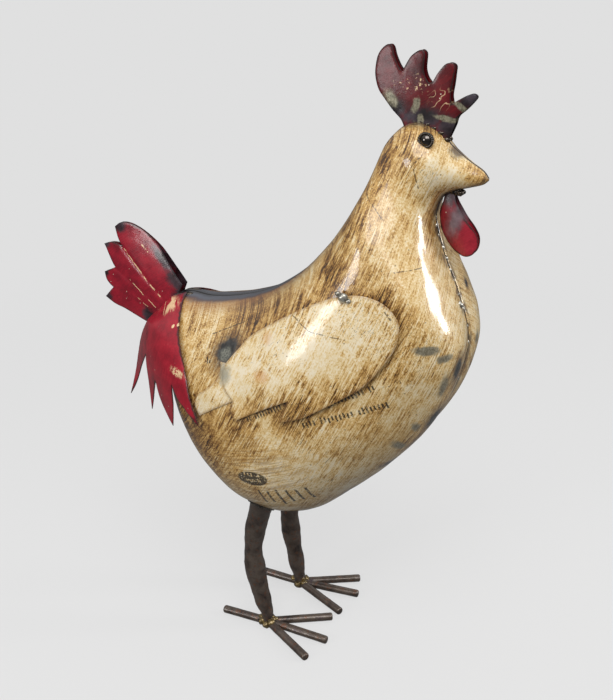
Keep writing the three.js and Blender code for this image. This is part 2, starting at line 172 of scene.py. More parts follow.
SADDLE = dict(at=(-125, -45, 285), yaw=-33, lean=20, over_rump=2, outline=[
    [(-18, 52), (-7, 46), (7, 36), (23, 24), (41, 9), (55, -7), (65, -23), (75, -35), (82, -43)],
    [(82, -43), (66, -38), (50, -32), (39, -22)],
    [(39, -22), (41, -40), (37, -61)],
    [(37, -61), (25, -54), (13, -44), (6, -31)],
    [(6, -31), (-2, -46), (-10, -64)],
    [(-10, -64), (-13, -48), (-16, -32), (-21, -15)],
    [(-21, -15), (-44, -38), (-61, -68)],
    [(-61, -68), (-62, -50), (-62, -33), (-62, -14), (-57, -2), (-46, 10), (-42, 19), (-36, 31), (-27, 42),
     (-18, 52)],
])

# The solids are shifted along X so that their box is centred: the eye says by how much.
eye_low, eye_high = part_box("eye_right")
SHIFT = (eye_low.x + eye_high.x) * 500 - EYE_AT[0]


# ----------------------------------------------------------------------------------------------------------
# Curves and small helpers
# ----------------------------------------------------------------------------------------------------------
def catmull(points, t, clamp_ends=False):
    """Uniform Catmull-Rom through points, t from 0 to 1 by index."""
    points = np.asarray(points, float)
    n = len(points)
    if clamp_ends:
        padded = np.vstack([points[:1], points, points[-1:]])
    else:
        padded = np.vstack([2 * points[0] - points[1], points, 2 * points[-1] - points[-2]])
    x = np.clip(np.asarray(t, float), 0, 1) * (n - 1)
    i = np.minimum(x.astype(int), n - 2)
    f = (x - i)[..., None]
    a, b, c, d = padded[i], padded[i + 1], padded[i + 2], padded[i + 3]
    return 0.5 * (2 * b + (c - a) * f + (2 * a - 5 * b + 4 * c - d) * f ** 2
                  + (3 * b - a - 3 * c + d) * f ** 3)


def bump(t):
    return np.clip(1 - np.asarray(t, float) ** 2, 0, 1)


def smoothstep(x, low, high):
    s = np.clip((np.asarray(x, float) - low) / (high - low), 0, 1)
    return s * s * (3 - 2 * s)


def rough(points, scale, seed=0.0):
    """Smooth noise from about -1 to 1 at each point, with lumps about `scale` mm across."""
    return np.array([noise.noise(Vector(p) / scale + Vector((seed, 2 * seed, -seed)))
                     for p in np.asarray(points, float)])


def to_metres(points):
    """Points in metres in the frame, none of them outside the box of the solids."""
    metres = (np.asarray(points, float) + np.array([SHIFT, 0, 0])) * 0.001
    margin = 1e-5
    return np.clip(metres, np.array(cad_box[0]) + margin, np.array(cad_box[1]) - margin)


def make_object(name, points, faces, material, replaced=(), attributes=None, sharp=None):
    """A mesh piece from points in mm, riding on the root body."""
    mesh = bpy.data.meshes.new(name)
    mesh.from_pydata([tuple(p) for p in to_metres(points)], [], [tuple(int(i) for i in f) for f in faces])
    mesh.update()
    for key, values in (attributes or {}).items():
        mesh.attributes.new(key, "FLOAT", "POINT").data.foreach_set("value", np.asarray(values, np.float32))
    mesh.shade_smooth()
    if sharp is not None:
        mesh.set_sharp_from_angle(angle=math.radians(sharp))
    mesh.materials.append(material)
    piece = bpy.data.objects.new(name, mesh)
    bpy.context.scene.collection.objects.link(piece)
    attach(piece, "root")
    if replaced:
        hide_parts(*replaced)
    return piece


# ----------------------------------------------------------------------------------------------------------
# Body skin
# ----------------------------------------------------------------------------------------------------------
def skin(t, phi, side):
    """Points of the skin: t runs from tail to beak, phi from the back (0) down to the keel (pi)."""
    top = catmull(BODY_SECTIONS[:, 0:2], t)
    keel = catmull(BODY_SECTIONS[:, 2:4], t)
    half, blunt, widest = catmull(BODY_SECTIONS[:, 4:7], t).T
    depth = np.linalg.norm(keel - top, axis=-1)
    power = (2 / blunt)[:, None]
    sin, cos = np.sin(phi), np.cos(phi)
    across = half[:, None] * np.clip(sin, 0, None) ** power
    lift = np.sign(cos) * np.abs(cos) ** power
    share = (1 - lift) / 2
    breast = (bump((t - 0.53) / 0.24) * np.minimum(1, half / 50))[:, None]
    swell = np.where(cos < 0, SEAM_DIP * breast * bump((across / half[:, None] - 0.42) / 0.42), 0)
    w = widest[:, None]
    drop = np.where(share < 0.5, share * 2 * w, w + (share - 0.5) * 2 * (1 - w))
    mix = (drop + swell / depth[:, None])[..., None]
    flat = top[:, None, :] * (1 - mix) + keel[:, None, :] * mix
    return np.stack([flat[..., 0], side * across, flat[..., 1]], -1)


SEAM_STEPS = np.array([0, 0.35, 0.7, 1.1, 1.6, 2.2, 3, 4, 5.4])  # mm from a seam to the columns next to it
FINE_COLUMNS = 700


def body_grid(rows, columns, side):
    """Skin points on an even grid, dense next to the two seams, with the distance to each seam in mm."""
    t = np.linspace(0, 1, rows)
    even = np.linspace(0, 1, FINE_COLUMNS)
    phi = np.pi * np.where(even < 0.5, 0.5 * (2 * even) ** 1.6, 1 - 0.5 * (2 - 2 * even) ** 1.6)
    fine = skin(t, np.tile(phi, (rows, 1)), side)
    step = np.linalg.norm(np.diff(fine, axis=1), axis=-1)
    arc = np.concatenate([np.zeros((rows, 1)), np.cumsum(step, 1)], 1)
    grid = np.zeros((rows, columns, 3))
    from_back = np.zeros((rows, columns))
    from_keel = np.zeros((rows, columns))
    k = len(SEAM_STEPS)
    for i in range(rows):
        total = arc[i, -1]
        near = SEAM_STEPS * min(1, total / 60)
        middle = np.linspace(near[-1], total - near[-1], columns - 2 * k + 2)[1:-1]
        want = np.concatenate([near, middle, (total - near)[::-1]])
        for axis in range(3):
            grid[i, :, axis] = np.interp(want, arc[i], fine[i, :, axis])
        from_back[i] = want
        from_keel[i] = total - want
    return t, grid, from_back, from_keel


def grid_normals(grid, side):
    du = np.gradient(grid, axis=0)
    dv = np.gradient(grid, axis=1)
    normal = np.cross(dv, du) * side
    return normal / (np.linalg.norm(normal, axis=-1, keepdims=True) + 1e-9)


def resting_skin(rows=120, columns=60):
    """A plain skin of the right side, for whatever rests on it."""
    _, grid, _, _ = body_grid(rows, columns, -1)
    faces = [(i * columns + j, i * columns + j + 1, (i + 1) * columns + j + 1, (i + 1) * columns + j)
             for i in range(rows - 1) for j in range(columns - 1)]
    return BVHTree.FromPolygons([Vector(p) for p in grid.reshape(-1, 3)], faces)


RIGHT_SKIN = resting_skin()


def plane_matrix(plate):
    yaw, lean = math.radians(plate["yaw"]), math.radians(plate["lean"])
    w = Vector((math.sin(yaw) * math.cos(lean), -math.cos(yaw) * math.cos(lean), math.sin(lean)))
    u = Vector((math.cos(yaw), math.sin(yaw), 0))
    v = w.cross(u)
    matrix = Matrix((u, v, w)).transposed().to_4x4()
    matrix.translation = Vector(plate["at"])
    return matrix


FLANK_MARGIN = 6
FLANK_LOOK_FROM = 300
FLANK_DEEPEST = -34.0


class Flank:
    """Height of the right-hand skin over a plate's plane, looked up from a grid of rays."""

    def __init__(self, plate, loop, step=3.0):
        matrix = plane_matrix(plate)
        aim = matrix.to_3x3() @ Vector((0, 0, -1))
        self.low, self.step = loop.min(0) - FLANK_MARGIN, step
        count = np.ceil((loop.max(0) + FLANK_MARGIN - self.low) / step).astype(int) + 1
        self.table = np.full(count, FLANK_DEEPEST)
        for i in range(count[0]):
            for j in range(count[1]):
                u, v = self.low + np.array([i, j]) * step
                place, _, _, far = RIGHT_SKIN.ray_cast(matrix @ Vector((u, v, FLANK_LOOK_FROM)), aim)
                if place is not None:
                    self.table[i, j] = max(FLANK_LOOK_FROM - far, FLANK_DEEPEST)

    def __call__(self, u, v):
        x = (np.asarray(u) - self.low[0]) / self.step
        y = (np.asarray(v) - self.low[1]) / self.step
        i = np.clip(x.astype(int), 0, self.table.shape[0] - 2)
        j = np.clip(y.astype(int), 0, self.table.shape[1] - 2)
        fx, fy = x - i, y - j
        a = self.table[i, j] * (1 - fx) + self.table[i + 1, j] * fx
        b = self.table[i, j + 1] * (1 - fx) + self.table[i + 1, j + 1] * fx
        return a * (1 - fy) + b * fy


# ----------------------------------------------------------------------------------------------------------
# Sheets cut to an outline
# ----------------------------------------------------------------------------------------------------------
def outline_points(runs, spacing=1.1):
    """The closed outline as one list of points, keeping the sharp corners between its runs."""
    points = []
    for run in runs:
        run = np.array(run, float)
        length = np.linalg.norm(np.diff(run, axis=0), axis=1).sum()
        count = max(2, int(length / spacing))
        points.append(catmull(run, np.arange(count) / count, clamp_ends=True))
    return np.concatenate(points)


def distance_to(points, loop):
    """Distance from each point to the closed loop."""
    points = np.asarray(points, float)
    best = np.full(len(points), 1e9)
    a, b = loop, np.roll(loop, -1, 0)
    ab = b - a
    length2 = (ab ** 2).sum(1) + 1e-12
    for s in range(0, len(points), 800):
        p = points[s:s + 800, None, :]
        f = np.clip(((p - a) * ab).sum(-1) / length2, 0, 1)
        best[s:s + 800] = np.linalg.norm(p - (a + f[..., None] * ab), axis=-1).min(1)
    return best


def inside(points, loop):
    points = np.asarray(points, float)
    a, b = loop, np.roll(loop, -1, 0)
    x, y = points[:, :1], points[:, 1:]
    crosses = (a[:, 1] > y) != (b[:, 1] > y)
    with np.errstate(divide="ignore", invalid="ignore"):
        at = (b[:, 0] - a[:, 0]) * (y - a[:, 1]) / (b[:, 1] - a[:, 1]) + a[:, 0]
    return (crosses & (x < at)).sum(1) % 2 == 1


def flat_mesh(loop, cell):
    """Triangles inside the outline, with a ring of points just inside the edge and a grid beyond it."""
    low, high = loop.min(0), loop.max(0)
    xs = np.arange(low[0], high[0], cell)
    ys = np.arange(low[1], high[1], cell * 0.87)
    grid = np.array([(x + (k % 2) * cell / 2, y) for k, y in enumerate(ys) for x in xs])
    grid = grid[inside(grid, loop)]
    grid = grid[distance_to(grid, loop) > 1.9]
    tangent = np.roll(loop, -1, 0) - np.roll(loop, 1, 0)
    normal = np.stack([-tangent[:, 1], tangent[:, 0]], 1)
    normal /= np.linalg.norm(normal, axis=1, keepdims=True) + 1e-9
    ring = np.concatenate([(loop + normal * s)[::2] for s in (1.0, -1.0)])
    ring = ring[inside(ring, loop)]
    ring = ring[distance_to(ring, loop) > 0.8]
    kept = []
    for p in ring:
        if all((p[0] - q[0]) ** 2 + (p[1] - q[1]) ** 2 > 1.0 for q in kept):
            kept.append(p)
    points = np.concatenate([loop, np.array(kept).reshape(-1, 2), grid])
    rim = list(range(len(loop)))
    out = delaunay_2d_cdt([Vector(p) for p in points], [], [rim], 1, 1e-5)
    return np.array([tuple(p) for p in out[0]]), [tuple(f) for f in out[2]]


def sheet(name, plate, rise, side, material, slot, replaced, cell=2.6, seed=0.0, wobble=0.25, age_and_shade=None):
    """A domed sheet with rounded edges: rise(u, v) is the height of its middle over the plate's plane."""
    loop = outline_points(plate["outline"])
    flat, triangles = flat_mesh(loop, cell)
    u, v = flat.T
    count = len(flat)
    edge = distance_to(flat, loop)
    level = np.column_stack([flat, np.zeros(count)])
    shake = rough(level, 16, seed) * wobble + rough(level, 5, seed + 3) * wobble * 0.3
    height = rise(u, v) + shake
    half = np.where(edge < 0.3, GAUGE / 2 - 0.3, GAUGE / 2)
    turn = np.array(plane_matrix(plate))

    def place(w):
        p = np.stack([u, v, w, np.ones(count)], 1) @ turn.T
        p[:, 1] *= -side
        return p[:, :3]

    legs = np.diff(flat[np.array(triangles)], axis=1)
    if (legs[:, 0, 0] * legs[:, 1, 1] - legs[:, 0, 1] * legs[:, 1, 0]).sum() < 0:
        triangles = [f[::-1] for f in triangles]
    faces = triangles + [tuple(i + count for i in f[::-1]) for f in triangles]
    used = dict.fromkeys((f[k], f[(k + 1) % 3]) for f in triangles for k in range(3))
    faces += [(b, a, a + count, b + count) for a, b in used if (b, a) not in used]
    if side > 0:
        faces = [f[::-1] for f in faces]
    attributes = {"edge": np.tile(edge, 2), "age_and_shade": np.tile(age_and_shade(u, v) if age_and_shade else np.zeros(count), 2)}
    points = np.concatenate([place(height + half), place(height - half)])
    return make_object(name, points, faces, material, replaced, attributes, 38)


# ----------------------------------------------------------------------------------------------------------
# Materials
# ----------------------------------------------------------------------------------------------------------
def srgb(r, g, b):
    return tuple(((c / 255) / 12.92 if c / 255 <= 0.04045 else ((c / 255 + 0.055) / 1.055) ** 2.4)
                 for c in (r, g, b)) + (1.0,)


class Paint:
    """Short forms for building a node material. Positions inside it are in mm, as above."""

    def __init__(self, name):
        self.material = bpy.data.materials.new(name)
        self.material.use_nodes = True
        self.tree = self.material.node_tree
        self.tree.nodes.clear()
        self.output = self.node("ShaderNodeOutputMaterial")
        self.shader = self.node("ShaderNodeBsdfPrincipled")
        self.link(self.shader.outputs[0], self.output.inputs[0])
        place = self.node("ShaderNodeTexCoord").outputs["Object"]
        self.at = self.vector("MULTIPLY_ADD", place, (1000, 1000, 1000), (-SHIFT, 0, 0))
        split = self.node("ShaderNodeSeparateXYZ")
        self.link(self.at, split.inputs[0])
        self.x, self.y, self.z = split.outputs

    def node(self, kind):
        return self.tree.nodes.new(kind)

    def link(self, source, socket):
        self.tree.links.new(source, socket)

    def feed(self, socket, value):
        if isinstance(value, bpy.types.NodeSocket):
            self.link(value, socket)
        elif value is not None:
            socket.default_value = value

    def math(self, operation, a, b=None, c=None, clamp=False):
        node = self.node("ShaderNodeMath")
        node.operation = operation
        node.use_clamp = clamp
        for socket, value in zip(node.inputs, (a, b, c)):
            self.feed(socket, value)
        return node.outputs[0]

    def vector(self, operation, a, b=None, c=None, value_out=False):
        node = self.node("ShaderNodeVectorMath")
        node.operation = operation
        for socket, value in zip(node.inputs, (a, b, c)):
            self.feed(socket, value)
        return node.outputs["Value" if value_out else "Vector"]

    def join(self, x, y, z=0.0):
        node = self.node("ShaderNodeCombineXYZ")
        for socket, value in zip(node.inputs, (x, y, z)):
            self.feed(socket, value)
        return node.outputs[0]

    def noise(self, vector, scale, detail=2.0, roughness=0.5, distortion=0.0):
        """Noise from 0 to 1 with lumps about `scale` mm across."""
        node = self.node("ShaderNodeTexNoise")
        self.feed(node.inputs["Vector"], vector)
        node.inputs["Scale"].default_value = 1 / scale
        node.inputs["Detail"].default_value = detail
        node.inputs["Roughness"].default_value = roughness
        node.inputs["Distortion"].default_value = distortion
        return node.outputs[0]

    def cells(self, scale):
        """Distance to the nearest of scattered points, about `scale` mm apart."""
        node = self.node("ShaderNodeTexVoronoi")
        self.feed(node.inputs["Vector"], self.at)
        node.inputs["Scale"].default_value = 1 / scale
        return node.outputs["Distance"]

    def span(self, value, low, high, to_low=0.0, to_high=1.0, smooth=True):
        """value brought from low..high to to_low..to_high, and held there."""
        node = self.node("ShaderNodeMapRange")
        node.interpolation_type = "SMOOTHSTEP" if smooth else "LINEAR"
        node.clamp = True
        for key, number in (("Value", value), ("From Min", low), ("From Max", high), ("To Min", to_low),
                            ("To Max", to_high)):
            self.feed(node.inputs[key], number)
        return node.outputs["Result"]

    def ramp(self, value, stops):
        node = self.node("ShaderNodeValToRGB")
        self.feed(node.inputs[0], value)
        elements = node.color_ramp.elements
        while len(elements) < len(stops):
            elements.new(0.5)
        for element, (position, colour) in zip(elements, stops):
            element.position = position
            element.color = colour
        return node.outputs[0]

    def mix(self, share, a, b, blend="MIX"):
        node = self.node("ShaderNodeMix")
        node.data_type = "RGBA"
        node.blend_type = blend
        self.feed(node.inputs[0], share)
        self.feed(node.inputs[6], a)
        self.feed(node.inputs[7], b)
        return node.outputs[2]

    def attribute(self, name):
        node = self.node("ShaderNodeAttribute")
        node.attribute_name = name
        return node.outputs["Fac"]

    def streaks(self, degrees, width, length, detail=2.0, roughness=0.55):
        """Noise drawn out along a direction in the XZ plane, as brushing or sanding leaves."""
        turn = math.radians(degrees)
        along = self.math("ADD", self.times(self.x, math.cos(turn)), self.times(self.z, math.sin(turn)))
        across = self.math("SUBTRACT", self.times(self.z, math.cos(turn)), self.times(self.x, math.sin(turn)))
        wander = self.times(self.noise(self.at, 35), 9.0)
        place = self.join(self.math("DIVIDE", self.math("ADD", across, wander), width),
                          self.math("DIVIDE", self.y, width), self.math("DIVIDE", along, length))
        return self.noise(place, 1.0, detail, roughness)

    def spot(self, centre, radii, soft=0.35, tilt=0.0, ragged=0.6):
        """1 inside an ellipsoid with a ragged edge, 0 outside it. tilt turns it in the XZ plane."""
        offset = self.vector("SUBTRACT", self.at, centre)
        if tilt:
            node = self.node("ShaderNodeVectorRotate")
            node.rotation_type = "Y_AXIS"
            node.inputs["Angle"].default_value = math.radians(tilt)
            self.link(offset, node.inputs["Vector"])
            offset = node.outputs[0]
        scaled = self.vector("DIVIDE", offset, radii)
        far = self.vector("LENGTH", scaled, value_out=True)
        if ragged:
            if not hasattr(self, "tatter"):
                self.tatter = self.noise(self.at, 4.0, 4.0, 0.65)
            far = self.math("ADD", far, self.times(self.math("SUBTRACT", self.tatter, 0.5), 2 * ragged))
        return self.span(far, 1 - soft, 1 + soft, 1.0, 0.0)

    def stroke(self, start, end, width, soft=0.5):
        """1 along a thin line between two points on the right side, seen square on in the XZ plane."""
        if not hasattr(self, "seen"):
            wander = self.noise(self.at, 12, 3.0)
            self.seen = self.join(self.math("ADD", self.x, self.times(wander, 3.0)), 0.0,
                                  self.math("ADD", self.z, self.times(wander, 2.0)))
        a = Vector((start[0] + 1.5, 0, start[1] + 1.0))
        b = Vector((end[0] + 1.5, 0, end[1] + 1.0))
        offset = self.vector("SUBTRACT", self.seen, a)
        along = self.math("DIVIDE", self.vector("DOT_PRODUCT", offset, b - a, value_out=True),
                          (b - a).length_squared, clamp=True)
        foot = self.vector("SCALE", b - a)
        self.link(along, foot.node.inputs["Scale"])
        far = self.vector("LENGTH", self.vector("SUBTRACT", offset, foot), value_out=True)
        return self.span(far, width * (1 - soft), width, 1.0, 0.0)

    def lines(self, degrees, spacing, length, width, seed=0.0):
        """1 on long thin wandering lines about `spacing` mm apart, along a direction in the XZ plane."""
        turn = math.radians(degrees)
        along = self.vector("DOT_PRODUCT", self.at, (math.cos(turn), 0, math.sin(turn)), value_out=True)
        across = self.vector("DOT_PRODUCT", self.at, (-math.sin(turn), 0, math.cos(turn)), value_out=True)
        across = self.math("MULTIPLY_ADD", self.math("ABSOLUTE", self.y), 0.5, across)
        place = self.join(self.math("DIVIDE", across, spacing), seed, self.math("DIVIDE", along, length))
        level = self.math("ABSOLUTE", self.math("SUBTRACT", self.noise(place, 1.0, 1.0), 0.5))
        return self.span(level, width * 0.4, width, 1.0, 0.0)

    def most(self, *values):
        best = values[0]
        for value in values[1:]:
            best = self.math("MAXIMUM", best, value)
        return best

    def times(self, *values):
        product = values[0]
        for value in values[1:]:
            product = self.math("MULTIPLY", product, value)
        return product

    def over(self, colour, tint, *shares):
        """tint laid over colour by the product of the shares."""
        return self.mix(self.times(*shares), colour, tint)

    def bump(self, height, strength, distance):
        node = self.node("ShaderNodeBump")
        node.inputs["Strength"].default_value = strength
        node.inputs["Distance"].default_value = distance
        self.link(height, node.inputs["Height"])
        return node.outputs[0]

    def finish(self, colour, roughness, metallic=0.0, coat=0.0, coat_roughness=0.1, normal=None,
               coat_normal=None, specular=0.5):
        shader = self.shader
        for key, value in (("Base Color", colour), ("Roughness", roughness), ("Metallic", metallic),
                           ("Coat Weight", coat), ("Coat Roughness", coat_roughness), ("Normal", normal),
                           ("Coat Normal", coat_normal), ("Specular IOR Level", specular)):
            self.feed(shader.inputs[key], value)
        return self.material


CREAM = srgb(238, 224, 196)
SAND = srgb(230, 206, 156)
TAN = srgb(204, 162, 92)
BROWN = srgb(128, 86, 32)
UMBER = srgb(52, 32, 14)
INK = srgb(18, 16, 15)
BLUE_GREY = srgb(92, 95, 108)
PLUM = srgb(66, 46, 50)


def stroke_bars(paint, origin, degrees, length, height, pitch, seed, thick=0.45, kept=0.88):
    """A row of plain upright bars of uneven height on the right side, where the real sheet carried print."""
    turn = math.radians(degrees)
    d, n = (math.cos(turn), 0, math.sin(turn)), (-math.sin(turn), 0, math.cos(turn))
    offset = paint.vector("SUBTRACT", paint.at, (origin[0], 0, origin[1]))
    u = paint.vector("DOT_PRODUCT", offset, d, value_out=True)
    v = paint.vector("DOT_PRODUCT", offset, n, value_out=True)
    step = paint.math("DIVIDE", u, pitch)
    part = paint.math("FRACT", step)
    white = paint.node("ShaderNodeTexWhiteNoise")
    white.noise_dimensions = "1D"
    paint.link(paint.math("ADD", paint.math("FLOOR", step), seed), white.inputs["W"])
    split = paint.node("ShaderNodeSeparateColor")
    paint.link(white.outputs["Color"], split.inputs[0])
    low_share, high_share, chance = split.outputs
    low = paint.times(low_share, 0.3 * height)
    high = paint.math("MULTIPLY_ADD", high_share, 0.3 * height, 0.7 * height)
    soft = 0.2
    tall = paint.times(paint.span(paint.math("SUBTRACT", v, low), -soft, soft),
                       paint.span(paint.math("SUBTRACT", high, v), -soft, soft))
    blur = soft / pitch
    wide = paint.times(paint.span(part, 0.2 - blur, 0.2 + blur),
                       paint.span(part, 0.2 + thick - blur, 0.2 + thick + blur, 1.0, 0.0))
    ends = paint.times(paint.math("GREATER_THAN", u, 0.0), paint.math("LESS_THAN", u, length))
    return paint.times(tall, wide, ends, paint.math("LESS_THAN", chance, kept),
                       paint.math("LESS_THAN", paint.y, 0.0))


def antiqued_cream(p, hatch, offset, marks=1.0):
    """Cream brushed over with brown: the tone comes from the brown stored at each point, which is antiquing
    with some painted shade and painted light on and round the wing, and from brush marks.
    """
    fine = p.streaks(66, 0.8, 15, 2.0)
    hair = p.streaks(58, 0.6, 22, 1.0)
    blotch = p.noise(p.at, 42, 3.0, 0.6)
    cloud = p.noise(p.at, 11, 4.0, 0.65)
    grit = p.noise(p.at, 1.5, 2.0, 0.7)
    tone = p.math("MULTIPLY_ADD", p.math("SUBTRACT", hatch, 0.5), 0.52, offset)
    for source, strength in ((fine, 0.40), (blotch, 0.45), (cloud, 0.75), (grit, 0.75)):
        tone = p.math("ADD", tone, p.times(p.math("SUBTRACT", source, 0.5), strength))
    tone = p.math("ADD", tone, p.attribute("age_and_shade"))
    dense = p.times(p.span(tone, 0.0, 0.45, 0.25, 1.0), p.span(blotch, 0.36, 0.56, 0.45, 1.0))
    for degrees, spacing, length, width, strength, seed in (
            (61, 2.6, 60, 0.050, 0.19, 1.0), (67, 3.4, 42, 0.042, 0.18, 5.0), (55, 4.4, 34, 0.038, 0.16, 9.0),
            (63, 3.0, 50, 0.050, -0.22, 14.0)):
        stroke = p.lines(degrees, spacing, length, width, seed)
        tone = p.math("ADD", tone, p.times(stroke, dense, strength * marks))
    tone = p.math("ADD", tone, 0.0, clamp=True)
    colour = p.ramp(tone, [(0.0, CREAM), (0.22, SAND), (0.46, TAN), (0.78, BROWN), (1.0, UMBER)])
    colour = p.over(colour, UMBER, p.span(hair, 0.64, 0.70), p.span(blotch, 0.42, 0.58), 0.75)
    dots = p.span(p.cells(4.6), 0.09, 0.15, 1.0, 0.0)
    colour = p.over(colour, UMBER, dots, p.span(p.noise(p.at, 24, 2.0), 0.50, 0.60), 0.75)
    relief = p.math("ADD", p.times(hatch, 0.6), p.times(grit, 0.3))
    return colour, relief, cloud, grit


def right_side_only(p, mask, strength=1.0):
    return p.times(mask, p.math("LESS_THAN", p.y, 0.0), strength)


SOLDER_SPOTS = [
    ((131, -59, 333), (11, 12, 3.6), 0.3, -8), ((142, -46, 324), (6, 9, 3.2), 0.4),
    ((141, -41, 299), (4, 5, 12), 0.6), ((122, -48, 261), (3, 5, 8), 0.5, 20),
    ((109, -50, 242), (3.5, 8, 14), 0.6, 34), ((149, 19, 320), (4, 4, 6), 0.5),
    ((-36, -84, 289), (7, 9, 7), 0.6),
]
SCORCH_SPOTS = {  # centre, then radii and tilt
    (-40, -70, 306): (10, 11, 13, -25), (147, -27, 309): (6, 6, 9, 0), (131, -30, 263): (6, 7, 12, 0),
    (61, -29, 178): (10, 9, 5, 0), (136, 22, 365): (2, 3, 4, 0), (148, 30, 345): (2, 3, 5, 0),
    (100, -38, 214): (7, 8, 4, 0),
}
DIRT_SPOTS = [  # the belly scorched round the legs, and dirt under the beak, under the chin and on the crown
    ((-24, -42, 146), (24, 24, 18), 0, 0.9, srgb(58, 42, 44)),
    ((-24, 42, 146), (24, 24, 18), 0, 0.9, srgb(58, 42, 44)),
    ((132, 0, 478), (22, 11, 6), 35, 0.85, srgb(62, 40, 18)),
    ((130, 0, 445), (18, 9, 6), 0, 0.7, srgb(70, 48, 24)),
    ((98, 0, 497), (26, 14, 6), 0, 0.85, srgb(60, 42, 24)),
]
BODY_CRACKS = [
    ((112, 479), (104, 469), 0.7), ((104, 469), (108, 451), 0.6), ((103, 392), (118, 393), 0.5),
    ((-63, 313), (-33, 328), 0.55), ((70, 446), (88, 428), 0.5),
]
BAR_ROWS = [  # start, slant, length, height, pitch, seed, thickness and share kept of each row of bars
    ((58, 279), 27, 44, 6.4, 3.0, 3, 0.5), ((41, 260), 20, 72, 7.0, 3.1, 11, 0.5),
    ((-9, 256), 29, 38, 6.4, 2.9, 23, 0.5), ((-2, 168), 14, 50, 24, 8.4, 31, 0.26, 2.0),
    ((-60, 292), 10, 8, 6, 3.0, 44),
]


def cream_body():
    p = Paint("cream_body")
    under_wing = p.times(p.span(p.z, 215, 262, 1.0, 0.0), p.span(p.x, 0, 70, 1.0, 0.0))
    hatch = p.math("ADD", p.times(p.streaks(62, 1.4, 30, 3.0, 0.6), p.math("SUBTRACT", 1.0, under_wing)),
                   p.times(p.streaks(19, 1.1, 34, 2.0), under_wing))
    colour, relief, cloud, grit = antiqued_cream(p, hatch, 0.33)
    colour = p.over(colour, BROWN, p.lines(18, 3.2, 70, 0.06, 20.0), under_wing, 0.5)

    # blue and plum heat colours along the back seam
    from_back, from_keel, heated = p.attribute("from_back"), p.attribute("from_keel"), p.attribute("heated")
    far = p.math("MULTIPLY_ADD", p.math("SUBTRACT", cloud, 0.5), 11.0, from_back)
    for near, end, strength, tint in ((16, 44, 0.65, srgb(150, 96, 40)), (12, 22, 1.0, PLUM),
                                      (9, 14, 1.0, BLUE_GREY), (3, 7, 0.8, srgb(58, 58, 64))):
        colour = p.over(colour, tint, p.span(far, near, end, 1.0, 0.0), heated, strength)
    heat_metal = p.times(p.span(far, 9, 14, 1.0, 0.0), heated)

    # the seams themselves, dark, the rough dirty lip along the breast, and a painted shade along the keel low
    # on the body
    lip = p.times(p.span(from_keel, 4.0, 9.0, 1.0, 0.0), p.span(p.noise(p.at, 10, 3.0), 0.40, 0.56))
    colour = p.over(colour, srgb(80, 60, 36), lip, 0.8)
    # painted shade: a dark band along the keel, darker towards the bottom, where the belly turns under
    keel_shade_reach = p.math("MULTIPLY_ADD", cloud, 14.0, from_keel)
    colour = p.over(colour, srgb(66, 50, 34), p.span(keel_shade_reach, 12, 26, 1.0, 0.0),
                    p.span(p.z, 190, 290, 1.0, 0.0), 0.85)
    colour = p.mix(p.span(p.math("MINIMUM", from_back, from_keel), 0.9, 1.8, 1.0, 0.0), colour, INK)

    # grey solder
    solder = p.most(*[p.spot(*spot) for spot in SOLDER_SPOTS])
    colour = p.over(colour, p.ramp(grit, [(0.35, srgb(112, 106, 88)), (0.65, srgb(184, 178, 156))]),
                    solder, 0.9)

    # scorched spots, brown outside and black inside
    halo = p.most(*[p.spot(at, (a * 1.7, b * 1.6, c * 1.6), 0.5, tilt)
                    for at, (a, b, c, tilt) in SCORCH_SPOTS.items()])
    burnt = p.most(*[p.spot(at, (a, b, c), 0.35, tilt) for at, (a, b, c, tilt) in SCORCH_SPOTS.items()])
    colour = p.over(colour, srgb(84, 54, 26), halo, 0.75)
    colour = p.mix(burnt, colour, p.ramp(p.noise(p.at, 6, 2.0), [(0.4, INK), (0.68, srgb(66, 66, 64))]))
    colour = p.over(colour, p.ramp(grit, [(0.35, srgb(70, 72, 66)), (0.65, srgb(134, 134, 120))]),
                    p.spot((-41, -71, 303), (5, 6, 7), 0.5, -25), 0.85)
    for at, radii, tilt, strength, tint in DIRT_SPOTS:
        colour = p.over(colour, tint, p.spot(at, radii, 0.5, tilt), strength)

    cracks = p.most(*[p.stroke(*crack) for crack in BODY_CRACKS])
    broken = p.span(p.noise(p.at, 3.2, 2.0), 0.40, 0.52)
    colour = p.mix(right_side_only(p, p.times(cracks, broken), 0.8), colour, srgb(48, 34, 20))

    # rows of plain bars, and an oval that holds two more of them in the bare paint's colour
    bars = p.most(*[stroke_bars(p, *row) for row in BAR_ROWS])
    oval = p.spot((-8, -89, 201), (14.5, 40, 7.4), 0.06, 8, 0.0)
    pale = p.most(stroke_bars(p, (-16, 202), 8, 16, 4.6, 3.4, 57, 0.42),
                  stroke_bars(p, (-14, 196.6), 8, 15, 3.2, 1.9, 61, 0.5))
    badge = right_side_only(p, p.times(oval, p.math("SUBTRACT", 1.0, pale)))
    colour = p.over(colour, INK, p.most(bars, badge), p.span(grit, 0.34, 0.44), 0.9)

    metal = p.times(p.most(solder, heat_metal), 0.6)
    roughness = p.math("MULTIPLY_ADD", burnt, 0.25, 0.45)
    glaze = p.math("ADD", p.times(cloud, 0.7), p.times(hatch, 0.35))
    return p.finish(colour, roughness, metal, 0.9, 0.08, p.bump(relief, 0.3, 0.0006),
                    p.bump(glaze, 0.2, 0.001))


